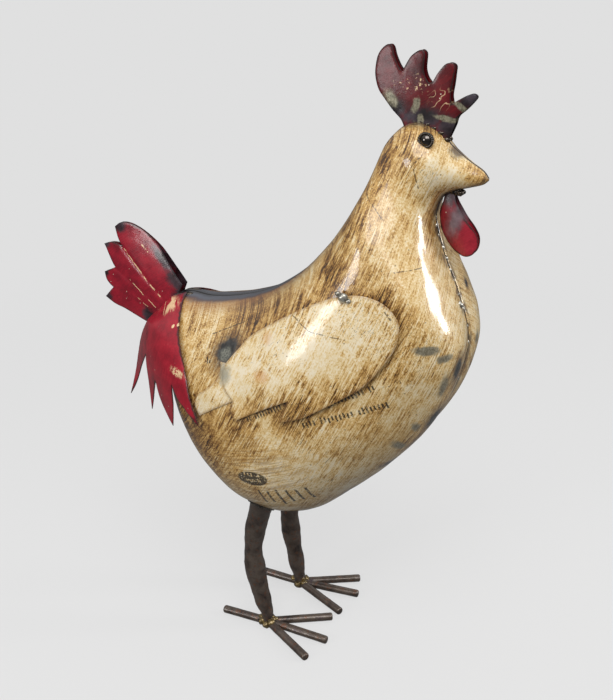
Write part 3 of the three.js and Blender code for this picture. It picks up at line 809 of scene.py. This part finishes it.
def cream_wing():
    p = Paint("cream_wing")
    colour, relief, cloud, grit = antiqued_cream(p, p.streaks(64, 1.2, 26, 3.0, 0.6), 0.21, 1.4)
    colour = p.over(colour, srgb(140, 98, 52), p.span(p.attribute("edge"), 0.4, 2.4, 1.0, 0.0), 0.45)
    stains = p.most(p.spot((2, -86, 330), (6, 12, 5), 0.6), p.spot((4, -88, 300), (7, 12, 5), 0.6))
    colour = p.over(colour, srgb(206, 146, 78), stains, 0.55)
    broken = p.span(p.noise(p.at, 3.2, 2.0), 0.38, 0.50)
    cracks = p.most(p.stroke((25, 351), (46, 343), 0.6), p.stroke((46, 343), (71, 341), 0.5),
                    p.stroke((101, 364), (106, 359), 1.0))
    colour = p.mix(right_side_only(p, p.times(cracks, broken), 0.8), colour, srgb(60, 46, 30))
    smudge = p.most(*[p.spot((-37, side * 85, 291), (7, 12, 8), 0.6) for side in (-1, 1)])
    colour = p.over(colour, srgb(140, 138, 122), smudge, 0.8)
    glaze = p.math("ADD", p.times(cloud, 0.8), p.times(grit, 0.15))
    return p.finish(colour, 0.45, 0.0, 0.9, 0.13, p.bump(relief, 0.3, 0.0006), p.bump(glaze, 0.22, 0.001))


RED_LOOKS = {  # dark and grey hold x, z, radius along x, radius along z, softness and tilt of each mark
    "comb": dict(
        tones=((46, 3, 8), (80, 6, 14), (114, 12, 22)), from_middle=3, depth=14,
        dark=[(101, 500, 17, 7, 0.45, 0), (78, 505, 9, 7, 0.5, 0), (136, 515, 9, 5, 0.5, 40),
              (121, 494, 8, 8, 0.5, 0)],
        grey=[(95, 509, 2.8, 6.5, 0.3, -18), (99, 498, 2.6, 4, 0.3, 0), (119, 500, 9, 2.2, 0.35, -10),
              (74, 513, 4, 7, 0.5, 38), (131, 508, 8, 2.0, 0.4, -38)]),
    # the wattle's dark marks are heat stain with a painted sheen: red_paint tints them a paler grey-purple
    "wattle": dict(
        tones=((110, 20, 32), (150, 30, 46), (176, 44, 60)), from_middle=4, depth=14,
        dark=[(126, 443, 7, 9, 0.5, 0), (132, 424, 6, 15, 0.7, -20)], grey=[]),
    "tail": dict(
        tones=((98, 8, 26), (142, 12, 36), (170, 26, 46)), from_middle=3, depth=14,
        dark=[(-132, 337, 9, 13, 0.45, 42), (-168, 296, 7, 8, 0.45, 0), (-148, 355, 4.5, 18, 0.55, 42),
              (-196, 381, 7, 6, 0.45, 0), (-214, 361, 5, 4, 0.5, 0), (-217, 332, 4, 4, 0.5, 0),
              (-217, 308, 6, 4, 0.5, 0), (-127, 318, 10, 14, 0.4, 0)], grey=[]),
    "saddle": dict(
        tones=((100, 10, 24), (150, 14, 36), (178, 30, 48)), from_middle=6, depth=8,
        dark=[(-124, 324, 9, 4, 0.5, 0)], grey=[]),
}


def red_paint(name, marks):
    """Deep red lacquer over sheet steel, scorched at its edges and where it is welded, with a painted sheen on
    the wattle's scorch and a painted highlight along the tail's folds.
    """
    p = Paint(name)
    look = RED_LOOKS[marks]
    cloud = p.noise(p.at, 15, 4.0, 0.6)
    grit = p.noise(p.at, 1.8, 3.0, 0.7)
    scuff = p.streaks(70 if marks == "saddle" else 35, 0.8, 14, 3.0)
    colour = p.ramp(p.math("ADD", p.times(cloud, 0.75), p.times(scuff, 0.3)),
                    [(place, srgb(*tone)) for place, tone in zip((0.3, 0.5, 0.7), look["tones"])])
    colour = p.over(colour, srgb(176, 84, 84), p.span(scuff, 0.68, 0.76), p.span(cloud, 0.45, 0.6), 0.5)
    colour = p.over(colour, srgb(216, 200, 180), p.span(p.cells(6.0), 0.06, 0.11, 1.0, 0.0),
                    p.span(p.noise(p.at, 22, 2.0), 0.54, 0.6))
    edge = p.attribute("edge")
    ragged = p.math("ADD", edge, p.times(p.math("SUBTRACT", p.noise(p.at, 7, 3.0), 0.5), 4.0))
    colour = p.over(colour, srgb(40, 26, 24), p.span(ragged, 0.2, 1.6, 1.0, 0.0), 0.85)
    metal = p.span(edge, 0.25, 0.45, 0.35, 0.0)

    dark, grey, pale = [], [], []
    for side in (-1, 1):
        for marked, spots in ((dark, look["dark"]), (grey, look["grey"])):
            marked += [p.spot((x, side * look["from_middle"], z), (wide, look["depth"], high), soft, tilt)
                       for x, z, wide, high, soft, tilt in spots]
        if marks == "saddle":
            worn = p.spot((-132, side * 20, 317), (15, 13, 8), 0.4)
            pale += [p.spot((-110, side * 47, 309), (1.6, 3, 1.6), 0.2, 0, 0.1),
                     p.spot((-105, side * 46, 311), (1.4, 3, 1.4), 0.2, 0, 0.1),
                     p.times(p.spot((-91, side * 74, 278), (9, 8, 3.2), 0.4, -8), p.span(grit, 0.42, 0.5)),
                     p.times(worn, p.most(p.lines(30, 5.0, 22, 0.05, 3.0), p.lines(70, 6.0, 16, 0.04, 7.0)))]
    if marks == "tail":
        # pale lines along the tail's folds: scratches, with a painted highlight where the creases catch the
        # light
        fold = p.most(p.stroke((-194, 362), (-152, 318), 0.75), p.stroke((-170, 366), (-164, 360), 0.9),
                      p.stroke((-186, 330), (-158, 306), 0.5), p.stroke((-180, 314), (-165, 304), 0.45))
        pale.append(p.times(fold, p.span(p.noise(p.at, 5, 3.0), 0.42, 0.52)))
    if marks == "comb":
        pale += [p.times(p.spot((91, 0, 523), (12, 20, 8), 0.5), p.span(p.noise(p.at, 2.2, 3.0), 0.62, 0.68)),
                 p.times(p.spot((114, 0, 514), (8, 20, 8), 0.4), p.lines(50, 6.0, 9, 0.03, 2.0), 0.7)]
    if pale:
        colour = p.over(colour, srgb(238, 206, 160), p.most(*pale), 0.9)
    # colour of the dark marks: scorch on the comb, tail and saddle; on the wattle a paler grey-purple, heat
    # stain with a painted sheen on it
    soot_and_sheen = ((78, 66, 70), (128, 112, 118)) if marks == "wattle" else ((16, 14, 18), (62, 58, 66))
    colour = p.over(colour, p.ramp(cloud, [(0.38, srgb(*soot_and_sheen[0])), (0.62, srgb(*soot_and_sheen[1]))]),
                    p.most(*dark), 0.94)
    if grey:
        solder = p.most(*grey)
        colour = p.mix(solder, colour, p.ramp(grit, [(0.35, srgb(96, 92, 74)), (0.65, srgb(160, 154, 132))]))
        metal = p.most(metal, p.times(solder, 0.5))
    relief = p.math("ADD", p.times(grit, 0.4), p.times(scuff, 0.5))
    coat = 0.35 if marks == "comb" else 0.7
    return p.finish(colour, 0.42, metal, coat, 0.20, p.bump(relief, 0.2, 0.0005), p.bump(cloud, 0.14, 0.002),
                    specular=0.25)


def steel(name, tone="bar"):
    """Lacquered bar steel, brown and grey, or the paler metal of the weld beads."""
    p = Paint(name)
    cloud = p.noise(p.at, 14, 4.0, 0.6)
    grit = p.noise(p.at, 1.7, 4.0, 0.7)
    pit = p.noise(p.at, 4.5, 3.0, 0.6)
    if tone == "bar":
        colour = p.ramp(cloud, [(0.3, srgb(44, 34, 32)), (0.46, srgb(84, 72, 64)), (0.6, srgb(104, 92, 82)),
                                (0.75, srgb(72, 58, 64))])
        colour = p.over(colour, srgb(120, 72, 44), p.span(pit, 0.55, 0.68), 0.6)
        colour = p.over(colour, srgb(26, 20, 20), p.span(grit, 0.55, 0.7), 0.45)
        return p.finish(colour, p.span(grit, 0.3, 0.7, 0.3, 0.55), 0.55, 0.6, 0.2,
                        p.bump(p.math("ADD", grit, pit), 0.35, 0.0006), p.bump(pit, 0.2, 0.001))
    stops = {
        "bead": [(0.3, srgb(110, 106, 96)), (0.6, srgb(206, 202, 190))],
        "olive": [(0.3, srgb(48, 38, 22)), (0.6, srgb(146, 124, 78))],
        "black": [(0.3, srgb(16, 13, 12)), (0.65, srgb(84, 72, 58))],
    }[tone]
    colour = p.ramp(pit, stops)
    return p.finish(colour, p.span(grit, 0.3, 0.7, 0.2, 0.45), 0.75, 0.7, 0.1, p.bump(pit, 0.4, 0.0008))


def ball_steel():
    p = Paint("ball_steel")
    tint = p.noise(p.at, 3.0, 2.0)
    colour = p.ramp(tint, [(0.3, srgb(46, 40, 38)), (0.7, srgb(92, 84, 78))])
    return p.finish(colour, p.span(p.noise(p.at, 1.0, 3.0), 0.3, 0.8, 0.05, 0.16), 1.0, 1.0, 0.03,
                    p.bump(tint, 0.06, 0.0005))


BODY_PAINT = cream_body()
WING_PAINT = cream_wing()
COMB_PAINT = red_paint("red_comb", "comb")
WATTLE_PAINT = red_paint("red_wattle", "wattle")
TAIL_PAINT = red_paint("red_tail", "tail")
SADDLE_PAINT = red_paint("red_saddle", "saddle")
BAR = steel("bar_steel")
BEAD = steel("weld_bead", "bead")
OLIVE = steel("weld_olive", "olive")
BLACK = steel("weld_black", "black")
BALL = ball_steel()


# ----------------------------------------------------------------------------------------------------------
# Body halves
# ----------------------------------------------------------------------------------------------------------
AGED = [  # x, z, radius and amount of extra brown (or, below zero, of paler paint) on the flanks
    (-105, 285, 22, 0.22), (-92, 235, 30, 0.30), (-50, 237, 30, 0.22), (-10, 240, 32, 0.08),
    (-25, 335, 24, 0.24), (-47, 333, 16, 0.22), (10, 352, 20, 0.20), (-60, 192, 26, 0.16),
    (38, 249, 30, -0.02), (88, 478, 18, 0.26), (74, 466, 14, 0.22), (76, 432, 13, 0.14),
    (119, 464, 16, -0.24), (60, 425, 14, 0.10), (100, 425, 26, 0.02), (56, 382, 20, 0.36),
    (128, 318, 24, -0.02), (122, 290, 24, -0.04), (98, 250, 26, 0.04), (-76, 300, 18, -0.06),
    (135, 345, 20, -0.12), (96, 365, 16, 0.16), (128, 240, 16, 0.22), (62, 206, 24, -0.12),
    (20, 205, 30, -0.14), (92, 405, 22, 0.02), (142, 457, 9, 0.12), (106, 240, 18, 0.04),
]


BODY_ROWS, BODY_COLUMNS = 292, 104


def build_body(side, name, replaced):
    rows, columns = BODY_ROWS, BODY_COLUMNS
    t, grid, from_back, from_keel = body_grid(rows, columns, side)
    normal = grid_normals(grid, side)
    if np.sum(normal[rows // 2, columns // 2] * np.array([0, side, 0])) < 0:
        normal = -normal
    flat = grid.reshape(-1, 3)
    n = normal.reshape(-1, 3)
    girth = np.repeat(np.clip(catmull(BODY_SECTIONS[:, 4:5], t)[:, 0] / 40, 0.15, 1), columns)
    hammer = rough(flat, 34, 1.7 + side) * 0.9 + rough(flat, 14, 5.1 + side) * 0.28
    push = hammer * girth * smoothstep(np.minimum(from_back, from_keel).ravel(), 0, 16)
    for near, deep in ((from_back.ravel(), 0.7), (from_keel.ravel(), 1.3)):
        push += girth * (-deep * np.exp(-(near / 0.8) ** 2) + 0.45 * np.exp(-((near - 2.6) / 1.2) ** 2))
    push = np.minimum(push, 1.1)
    points = flat + n * push[:, None]
    points[:, 1] = side * np.maximum(side * points[:, 1], GAP / 2)
    # a shallow cup behind the eye
    eye = np.array([EYE_AT[0], side * EYE_AT[1], EYE_AT[2]])
    reach = np.linalg.norm(points - eye, axis=1)
    cup = reach < EYE_RADIUS + 0.5
    points[cup, 1] -= side * (EYE_RADIUS + 0.5 - reach[cup]) * 1.2
    index = np.arange(rows * columns).reshape(rows, columns)
    a, b, c, d = index[:-1, :-1], index[:-1, 1:], index[1:, 1:], index[1:, :-1]
    faces = np.stack([a, b, c, d], -1).reshape(-1, 4).tolist()
    faces += [(index[i, 0], index[i + 1, 0], index[i + 1, -1], index[i, -1]) for i in range(rows - 1)]
    faces += [index[0, ::-1].tolist(), index[-1, :].tolist()]
    if side > 0:
        faces = [f[::-1] for f in faces]
    # extra brown in the hollows, where the wiping cloth doesn't reach, and round the wing on the flank, where
    # it is antiquing and painted shade of the wing
    age_and_shade = np.zeros(len(flat))
    for x, z, radius, amount in AGED:
        age_and_shade += amount * np.exp(-((flat[:, 0] - x) ** 2 + (flat[:, 2] - z) ** 2) / radius ** 2)
    inverse = np.array(plane_matrix(WING).inverted())
    mirrored = np.column_stack([flat[:, 0], -np.abs(flat[:, 1]), flat[:, 2], np.ones(len(flat))])
    local = (mirrored @ inverse.T)[:, :2]
    rim = distance_to(local, outline_points(WING["outline"], 4))
    # painted shade of the wing along its outline on the flank, over the antiquing there
    age_and_shade += 0.20 * np.exp(-rim / 7) * (np.abs(flat[:, 1]) > 30)
    age_and_shade += 0.10 * np.exp(-from_keel.ravel() / 9) + 0.25 * np.exp(-reach / 9)
    heated = smoothstep(np.repeat(t, columns), 0.0, 0.04) * smoothstep(-np.repeat(t, columns), -0.66, -0.46)
    attributes = {"age_and_shade": age_and_shade, "from_back": from_back.ravel(), "from_keel": from_keel.ravel(),
                  "heated": np.maximum(heated, 0.0)}
    return make_object(name, points, faces, BODY_PAINT, replaced, attributes, 60)


SIDES = ((-1, "right"), (1, "left"))
for side, word in SIDES:
    build_body(side, f"body_{word}", [f"body_{word}_half"])


# ----------------------------------------------------------------------------------------------------------
# Wings, comb, wattles and tail
# ----------------------------------------------------------------------------------------------------------
wing_flank = Flank(WING, outline_points(WING["outline"] + WING_TIP["outline"]))
saddle_flank = Flank(SADDLE, outline_points(SADDLE["outline"]))


def wing_rise(u, v):
    return wing_flank(u, v) + WING_STANDOFF + WING_CROWN * bump(np.hypot((u - 5) / 80, (v - 2) / 70))


def wing_tip_rise(u, v):
    return wing_flank(u, v) + WING_TIP_STANDOFF


def saddle_rise(u, v):
    a, b = u / 10, v / 10
    bow = 8.4 + 0.2 * a + 0.9 * b - 0.36 * a * a - 0.13 * a * b - 0.73 * b * b
    bow += -0.053 * a * a * b - 0.032 * a * b * b - 0.056 * b ** 3
    rump = saddle_flank(u, v) + SADDLE["over_rump"]
    hug = smoothstep(v, 12, 42)
    return np.maximum(bow * (1 - hug) + rump * hug, rump)


def wing_age_and_shading(u, v):
    """More brown at the foot of the wing and least along its ridge: antiquing, with painted shade on the lower
    wing and painted light along the ridge.
    """
    ridge = np.exp(-((v - 0.55 * u - 14) / 16) ** 2)
    foot = smoothstep(0.45 * u - v, 4, 44)
    return 0.32 * foot - 0.10 * ridge


def crease(u, v, start, end, width):
    """1 along a straight fold from start to end, fading to both sides."""
    start, end = np.array(start, float), np.array(end, float)
    d = end - start
    f = np.clip(((u - start[0]) * d[0] + (v - start[1]) * d[1]) / (d @ d), 0, 1)
    far = np.hypot(u - start[0] - f * d[0], v - start[1] - f * d[1])
    return np.exp(-(far / width) ** 2)


def tail_rise(u, v):
    along = -0.92 * (u + 135) + 0.39 * (v - 315)
    across = 0.39 * (u + 135) + 0.92 * (v - 315)
    dome = 5.5 * bump(across / 44) * bump((along - 30) / 60)
    folds = (crease(u, v, (-194, 361), (-150, 318), 1.6) * 0.9
             + crease(u, v, (-204, 340), (-152, 308), 2.2) * 0.5
             + crease(u, v, (-209, 318), (-156, 300), 2.2) * 0.4)
    return dome - folds


def comb_rise(u, v):
    return 3 - 2.6 * (((u - 97) / 47) ** 2 + ((v - 512) / 52) ** 2)


def wattle_rise(u, v):
    return 4 - 0.014 * (u + 0.35 * v) ** 2 - 0.004 * v ** 2


SHEETS = [  # name, plate, rise, paint, slot, node, mesh cell, seed and what else the sheet asks for
    ("wing_{}_sheet", WING, wing_rise, WING_PAINT, "wing_cream", "wing_{}", 2.8, 0, dict(age_and_shade=wing_age_and_shading)),
    ("wing_tip_{}_sheet", WING_TIP, wing_tip_rise, WING_PAINT, "wing_cream", "wing_tip_{}", 2.6, 2, {}),
    ("comb_{}", COMB, comb_rise, COMB_PAINT, "comb_red", "comb_{}_sheet", 2.0, 4, {}),
    ("wattle_{}_sheet", WATTLE, wattle_rise, WATTLE_PAINT, "wattle_red", "wattle_{}", 1.6, 6,
     dict(wobble=0.15)),
    ("tail_{}", TAIL_FAN, tail_rise, TAIL_PAINT, "tail_red", "tail_fan_{}", 2.2, 8, {}),
    ("saddle_{}", SADDLE, saddle_rise, SADDLE_PAINT, "tail_red", "saddle_feathers_{}", 2.4, 10, {}),
]
for side, word in SIDES:
    for name, plate, rise, paint, slot, node, cell, seed, more in SHEETS:
        sheet(name.format(word), plate, rise, side, paint, slot, [node.format(word)], cell, seed + side, **more)


# ----------------------------------------------------------------------------------------------------------
# Eyes, legs and toes
# ----------------------------------------------------------------------------------------------------------
def ball(centre, radius, rings=24, sectors=36):
    points, faces = [(centre[0], centre[1], centre[2] + radius)], []
    for i in range(1, rings):
        a = math.pi * i / rings
        for j in range(sectors):
            b = 2 * math.pi * j / sectors
            points.append((centre[0] + radius * math.sin(a) * math.cos(b),
                           centre[1] + radius * math.sin(a) * math.sin(b), centre[2] + radius * math.cos(a)))
    points.append((centre[0], centre[1], centre[2] - radius))
    last = len(points) - 1
    for j in range(sectors):
        k = (j + 1) % sectors
        faces.append((0, 1 + j, 1 + k))
        faces.append((last, 1 + (rings - 2) * sectors + k, 1 + (rings - 2) * sectors + j))
        for i in range(rings - 2):
            faces.append((1 + i * sectors + j, 1 + (i + 1) * sectors + j, 1 + (i + 1) * sectors + k,
                          1 + i * sectors + k))
    return np.array(points), faces


def lump(centre, radii, seed=0.0, rings=10, sectors=16, uneven=0.18):
    """A weld bead: a flattened ball with an uneven skin."""
    points, faces = ball((0, 0, 0), 1.0, rings, sectors)
    points = points * (1 + uneven * rough(points, 0.55, seed))[:, None] * np.array(radii)
    return points + np.array(centre), faces


def merged(parts):
    points, faces, start = [], [], 0
    for p, f in parts:
        points.append(p)
        faces += [tuple(i + start for i in face) for face in f]
        start += len(p)
    return np.concatenate(points), faces
def beads(name, lumps, material):
    """Several weld beads as one piece, kept just above the floor."""
    points, faces = merged(lumps)
    points[:, 2] = np.maximum(points[:, 2], 0.2)
    make_object(name, points, faces, material)


def tube(line, radii, sectors, seed, uneven=0.2):
    """A closed bar along a line of points, with its radius at each of them and an uneven skin."""
    line = np.asarray(line, float)
    tangent = np.gradient(line, axis=0)
    tangent /= np.linalg.norm(tangent, axis=1, keepdims=True)
    rings = []
    sideways = np.cross(tangent[0], (0, 0, 1.0))
    if np.linalg.norm(sideways) < 0.2:
        sideways = np.array([0, 1.0, 0])
    angle = np.arange(sectors) * 2 * np.pi / sectors
    for i, (centre, along) in enumerate(zip(line, tangent)):
        s = sideways - along * (sideways @ along)
        s /= np.linalg.norm(s)
        n = np.cross(s, along)
        rings.append(centre + radii[i] * (np.cos(angle)[:, None] * s + np.sin(angle)[:, None] * n))
    points = np.array(rings)
    centre = line[:, None, :]
    shake = rough(points.reshape(-1, 3), 7, seed).reshape(points.shape[:2]) * uneven
    shake += rough(points.reshape(-1, 3), 2.5, seed + 9).reshape(points.shape[:2]) * uneven * 0.35
    reach = np.linalg.norm(points - centre, axis=-1, keepdims=True)
    points = centre + (points - centre) * (1 + shake[..., None] / np.maximum(reach, 1))
    rows = len(line)
    index = np.arange(rows * sectors).reshape(rows, sectors)
    faces = []
    for i in range(rows - 1):
        for j in range(sectors):
            k = (j + 1) % sectors
            faces.append((index[i, j], index[i, k], index[i + 1, k], index[i + 1, j]))
    faces.append(tuple(index[0, ::-1]))
    faces.append(tuple(index[-1]))
    return points.reshape(-1, 3), faces


RIM_LUMPS = 22
for side, word in SIDES:
    points, faces = ball((EYE_AT[0], side * (EYE_AT[1] + 0.6), EYE_AT[2]), EYE_RADIUS - 0.8, 32, 48)
    make_object(f"eye_ball_{word}", points, faces, BALL, [f"eye_{word}"])
    beads(f"eye_rim_{word}", [
        lump((EYE_AT[0] + 5.3 * math.cos(a), side * (EYE_AT[1] + 3.6), EYE_AT[2] + 5.0 * math.sin(a)),
             (1.3, 1.1, 1.3), seed=k, rings=7, sectors=10, uneven=0.15)
        for k, a in enumerate(np.arange(RIM_LUMPS) * 2 * math.pi / RIM_LUMPS)], BLACK)

for word, foot in FEET.items():
    side = foot["side"]
    steps = np.linspace(0, 1, 70)
    centre = catmull(LEG_SECTIONS, steps)
    x = centre[:, 0] + foot["bow"] * bump((centre[:, 1] - 70) / 55)
    line = np.column_stack([x, np.full(len(x), side * HUB_AT[1]), np.maximum(centre[:, 1], 0)])
    line[0, 2] = 0.15
    dents = 0.7 * np.sin(steps * 19 + side) * np.sin(steps * 7 + 2 * side) * smoothstep(steps, 0.08, 0.25)
    points, faces = tube(line, centre[:, 2] - 0.4 + dents, 40, 3 + side, 0.5)
    points[:, 2] = np.maximum(points[:, 2], 0.05)
    make_object(f"shank_{word}", points, faces, BAR, [f"leg_{word}"], sharp=50)
    for toe in ("inner", "middle", "outer", "back"):
        heading = math.radians(-side * foot[toe])
        length = BACK_TOE_LENGTH if toe == "back" else TOE_LENGTH
        d = np.array([math.cos(heading), math.sin(heading)])
        along = np.concatenate([[2.5, 3.5], np.linspace(6, length - 2.5, 22),
                                [length - 1.4, length - 0.7, length - 0.25, length - 0.1]])
        line = np.column_stack([HUB_AT[0] + along * d[0], side * HUB_AT[1] + along * d[1],
                                np.full(len(along), TOE_RADIUS)])
        radius = np.full(len(along), TOE_RADIUS - 0.12)
        radius[-4:] = (TOE_RADIUS - 0.2, TOE_RADIUS - 0.5, TOE_RADIUS - 1.0, TOE_RADIUS - 1.5)
        points, faces = tube(line, radius, 28, 11 + side + foot[toe] * 0.1, 0.12)
        points[:, 2] = np.maximum(points[:, 2], 0.03)
        make_object(f"toe_{toe}_{word}_bar", points, faces, BAR, [f"toe_{toe}_{word}"], sharp=50)

# ----------------------------------------------------------------------------------------------------------
# Welds
# ----------------------------------------------------------------------------------------------------------
FOOT_LUMPS = [  # forwards, inwards, up and radius
    (5.5, -3.5, 6.5, 4.2), (6.5, 2.5, 6.0, 4.0), (-4.5, -4.0, 5.5, 4.0), (-6.5, 0.5, 6.5, 3.6),
    (1.0, -6.0, 4.5, 3.8), (0.5, 6.0, 4.8, 3.6), (3.5, 0.5, 9.0, 3.6),
]
for word, foot in FEET.items():
    side = foot["side"]
    beads(f"foot_weld_{word}", [
        lump((HUB_AT[0] + dx, side * HUB_AT[1] - side * dy, z), (r, r, r * 0.85), seed=k + side, uneven=0.3)
        for k, (dx, dy, z, r) in enumerate(FOOT_LUMPS)], OLIVE)

for side, word in SIDES:
    beads(f"wing_weld_{word}", [
        lump((69, side * 78, 373), (4.2, 2.8, 3.8), seed=1 + side, uneven=0.2),
        lump((64, side * 76.5, 375), (2.6, 2.2, 2.0), seed=2 + side, uneven=0.2),
        lump((73, side * 77, 370.5), (2.4, 2.2, 1.9), seed=3 + side, uneven=0.2)], BEAD)


def underside(x, y):
    """Height of the belly over a point of the floor, or None beside it."""
    place, _, _, _ = RIGHT_SKIN.ray_cast(Vector((x, -abs(y), 0)), Vector((0, 0, 1)))
    return place.z if place is not None else None


LEG_LUMPS = 20
LEG_WELD_AT = 0.94  # share of the way up the leg
KEEL_STEPS = 600
leg_x, _, leg_radius = catmull(LEG_SECTIONS, np.array([LEG_WELD_AT]))[0]
ridge = catmull(BODY_SECTIONS[:, 0:2], np.linspace(0, 1, 400))
keel = catmull(BODY_SECTIONS[:, 2:4], np.linspace(0, 1, KEEL_STEPS))

for side, word in SIDES:
    lumps = []
    for k in range(LEG_LUMPS):
        a = 2 * math.pi * k / LEG_LUMPS
        x = leg_x + (leg_radius + 1.2) * math.cos(a)
        y = HUB_AT[1] + (leg_radius + 1.2) * math.sin(a)
        z = underside(x, y)
        if z is not None:
            lumps.append(lump((x, side * y, z - 1.0), (3.4, 3.4, 3.8), seed=k + 0.4 * side, uneven=0.4))
    beads(f"leg_weld_{word}", lumps, BLACK)
    beads(f"comb_weld_{word}", [
        lump((x, side * 3.4, np.interp(x, ridge[:, 0], ridge[:, 1]) + 0.4), (3.2, 1.9, 2.0), seed=k + side,
             uneven=0.35) for k, x in enumerate(range(90, 124, 5))], BLACK)
    beads(f"wattle_weld_{word}", [
        lump((124 + 3.1 * k, side * 2.6, 446.5 - 0.7 * k), (2.6, 2.4, 2.4), seed=k + side, uneven=0.35)
        for k in range(4)], BLACK)
    beads(f"tail_weld_{word}", [
        lump((-132 + 4.6 * k, side * (3.2 + 0.9 * k), 322.5 + 1.1 * k), (4.2, 3.4, 2.2), seed=k + side,
             uneven=0.35) for k in range(4)], BLACK)

chooser = np.random.default_rng(7)
lumps = []
for share in np.linspace(0.49, 0.70, 13):
    x, z = keel[int(share * (KEEL_STEPS - 1))]
    size = chooser.uniform(1.1, 1.9)
    centre = (x - 0.2, chooser.uniform(-2.2, 0.6), z)
    lumps.append(lump(centre, (size, size, size * 1.3), seed=share * 40, uneven=0.3))
lumps.append(lump((145.5, -23, 311), (2.6, 2.2, 2.2), seed=3.0))
lumps.append(lump((139.5, -5.5, 355), (3.0, 2.6, 3.2), seed=8.0))
beads("breast_beads", lumps, BEAD)

# ----------------------------------------------------------------------------------------------------------
# Studio
# ----------------------------------------------------------------------------------------------------------
PALE = 0.745  # how bright the floor and the backdrop show
FLOOR_REACH = 9.0


def glow(name, level):
    """A surface that shows one pale grey, whatever the lights do."""
    material = bpy.data.materials.new(name)
    material.use_nodes = True
    surface = material.node_tree.nodes["Principled BSDF"]
    surface.inputs["Base Color"].default_value = (0, 0, 0, 1)
    surface.inputs["Specular IOR Level"].default_value = 0
    surface.inputs["Emission Color"].default_value = (level, level, level, 1)
    surface.inputs["Emission Strength"].default_value = 1
    return material


def stage_piece(name, points, faces, material):
    """Part of the studio, seen by the camera and left out of the object's reflections."""
    mesh = bpy.data.meshes.new(name)
    mesh.from_pydata(points, [], faces)
    mesh.shade_smooth()
    mesh.materials.append(material)
    piece = bpy.data.objects.new(name, mesh)
    bpy.context.scene.collection.objects.link(piece)
    piece.visible_glossy = False
    piece.visible_diffuse = False
    return piece


floor_material = glow("floor_paper", PALE)
tree = floor_material.node_tree
surface = tree.nodes["Principled BSDF"]
coordinates = tree.nodes.new("ShaderNodeTexCoord")
reach = tree.nodes.new("ShaderNodeVectorMath")
reach.operation = "LENGTH"
tree.links.new(coordinates.outputs["Object"], reach.inputs[0])
for socket, near, away in ((surface.inputs["Base Color"], 0.16, 0.0),
                           (surface.inputs["Emission Color"], 0.60, PALE)):
    fade = tree.nodes.new("ShaderNodeMapRange")
    fade.interpolation_type = "SMOOTHSTEP"
    for key, value in (("From Min", 0.25), ("From Max", 1.4), ("To Min", near), ("To Max", away)):
        fade.inputs[key].default_value = value
    tree.links.new(reach.outputs["Value"], fade.inputs["Value"])
    tree.links.new(fade.outputs["Result"], socket)
corners = [(x * FLOOR_REACH, y * FLOOR_REACH, 0) for x, y in ((-1, -1), (1, -1), (1, 1), (-1, 1))]
stage_piece("floor", corners, [(0, 1, 2, 3)], floor_material)

dome_points, dome_faces = ball((0, 0, 0), 0.98 * FLOOR_REACH)
dome = stage_piece("backdrop", dome_points, dome_faces, glow("backdrop_paper", PALE))
dome.visible_shadow = False

world = bpy.data.worlds.new("studio")
bpy.context.scene.world = world
world.use_nodes = True
tree = world.node_tree
backdrop = tree.nodes["Background"]
coordinates = tree.nodes.new("ShaderNodeTexCoord")
split = tree.nodes.new("ShaderNodeSeparateXYZ")
tree.links.new(coordinates.outputs["Generated"], split.inputs[0])
height = tree.nodes.new("ShaderNodeMapRange")
height.inputs["From Min"].default_value = -1
tree.links.new(split.outputs["Z"], height.inputs["Value"])
ramp = tree.nodes.new("ShaderNodeValToRGB")
tree.links.new(height.outputs["Result"], ramp.inputs[0])
tree.links.new(ramp.outputs[0], backdrop.inputs["Color"])
sky = [(0.0, 0.22), (0.40, 0.10), (0.55, 0.16), (0.80, 0.55), (1.0, 0.65)]  # share of the way up, brightness
while len(ramp.color_ramp.elements) < len(sky):
    ramp.color_ramp.elements.new(0.5)
for element, (position, level) in zip(ramp.color_ramp.elements, sky):
    element.position = position
    element.color = (level, level, level, 1)


def softbox(name, direction, distance, width, height, watts, aim=(0.06, 0, 0.36)):
    data = bpy.data.lights.new(name, "AREA")
    data.shape = "RECTANGLE"
    data.size, data.size_y = width, height
    data.energy = watts
    light = bpy.data.objects.new(name, data)
    bpy.context.scene.collection.objects.link(light)
    aim = Vector(aim)
    light.location = aim + Vector(direction).normalized() * distance
    light.rotation_euler = (aim - light.location).to_track_quat("-Z", "Y").to_euler()


softbox("key", (-0.48, -0.86, 0.16), 1.7, 0.46, 0.52, 7.5)
softbox("side", (0.88, 0.46, 0.20), 1.6, 0.30, 0.54, 9)
softbox("top", (0.35, -0.7, 1.0), 1.8, 1.6, 1.2, 25)

view = bpy.context.scene.view_settings
view.view_transform = "Standard"
view.look = "None"
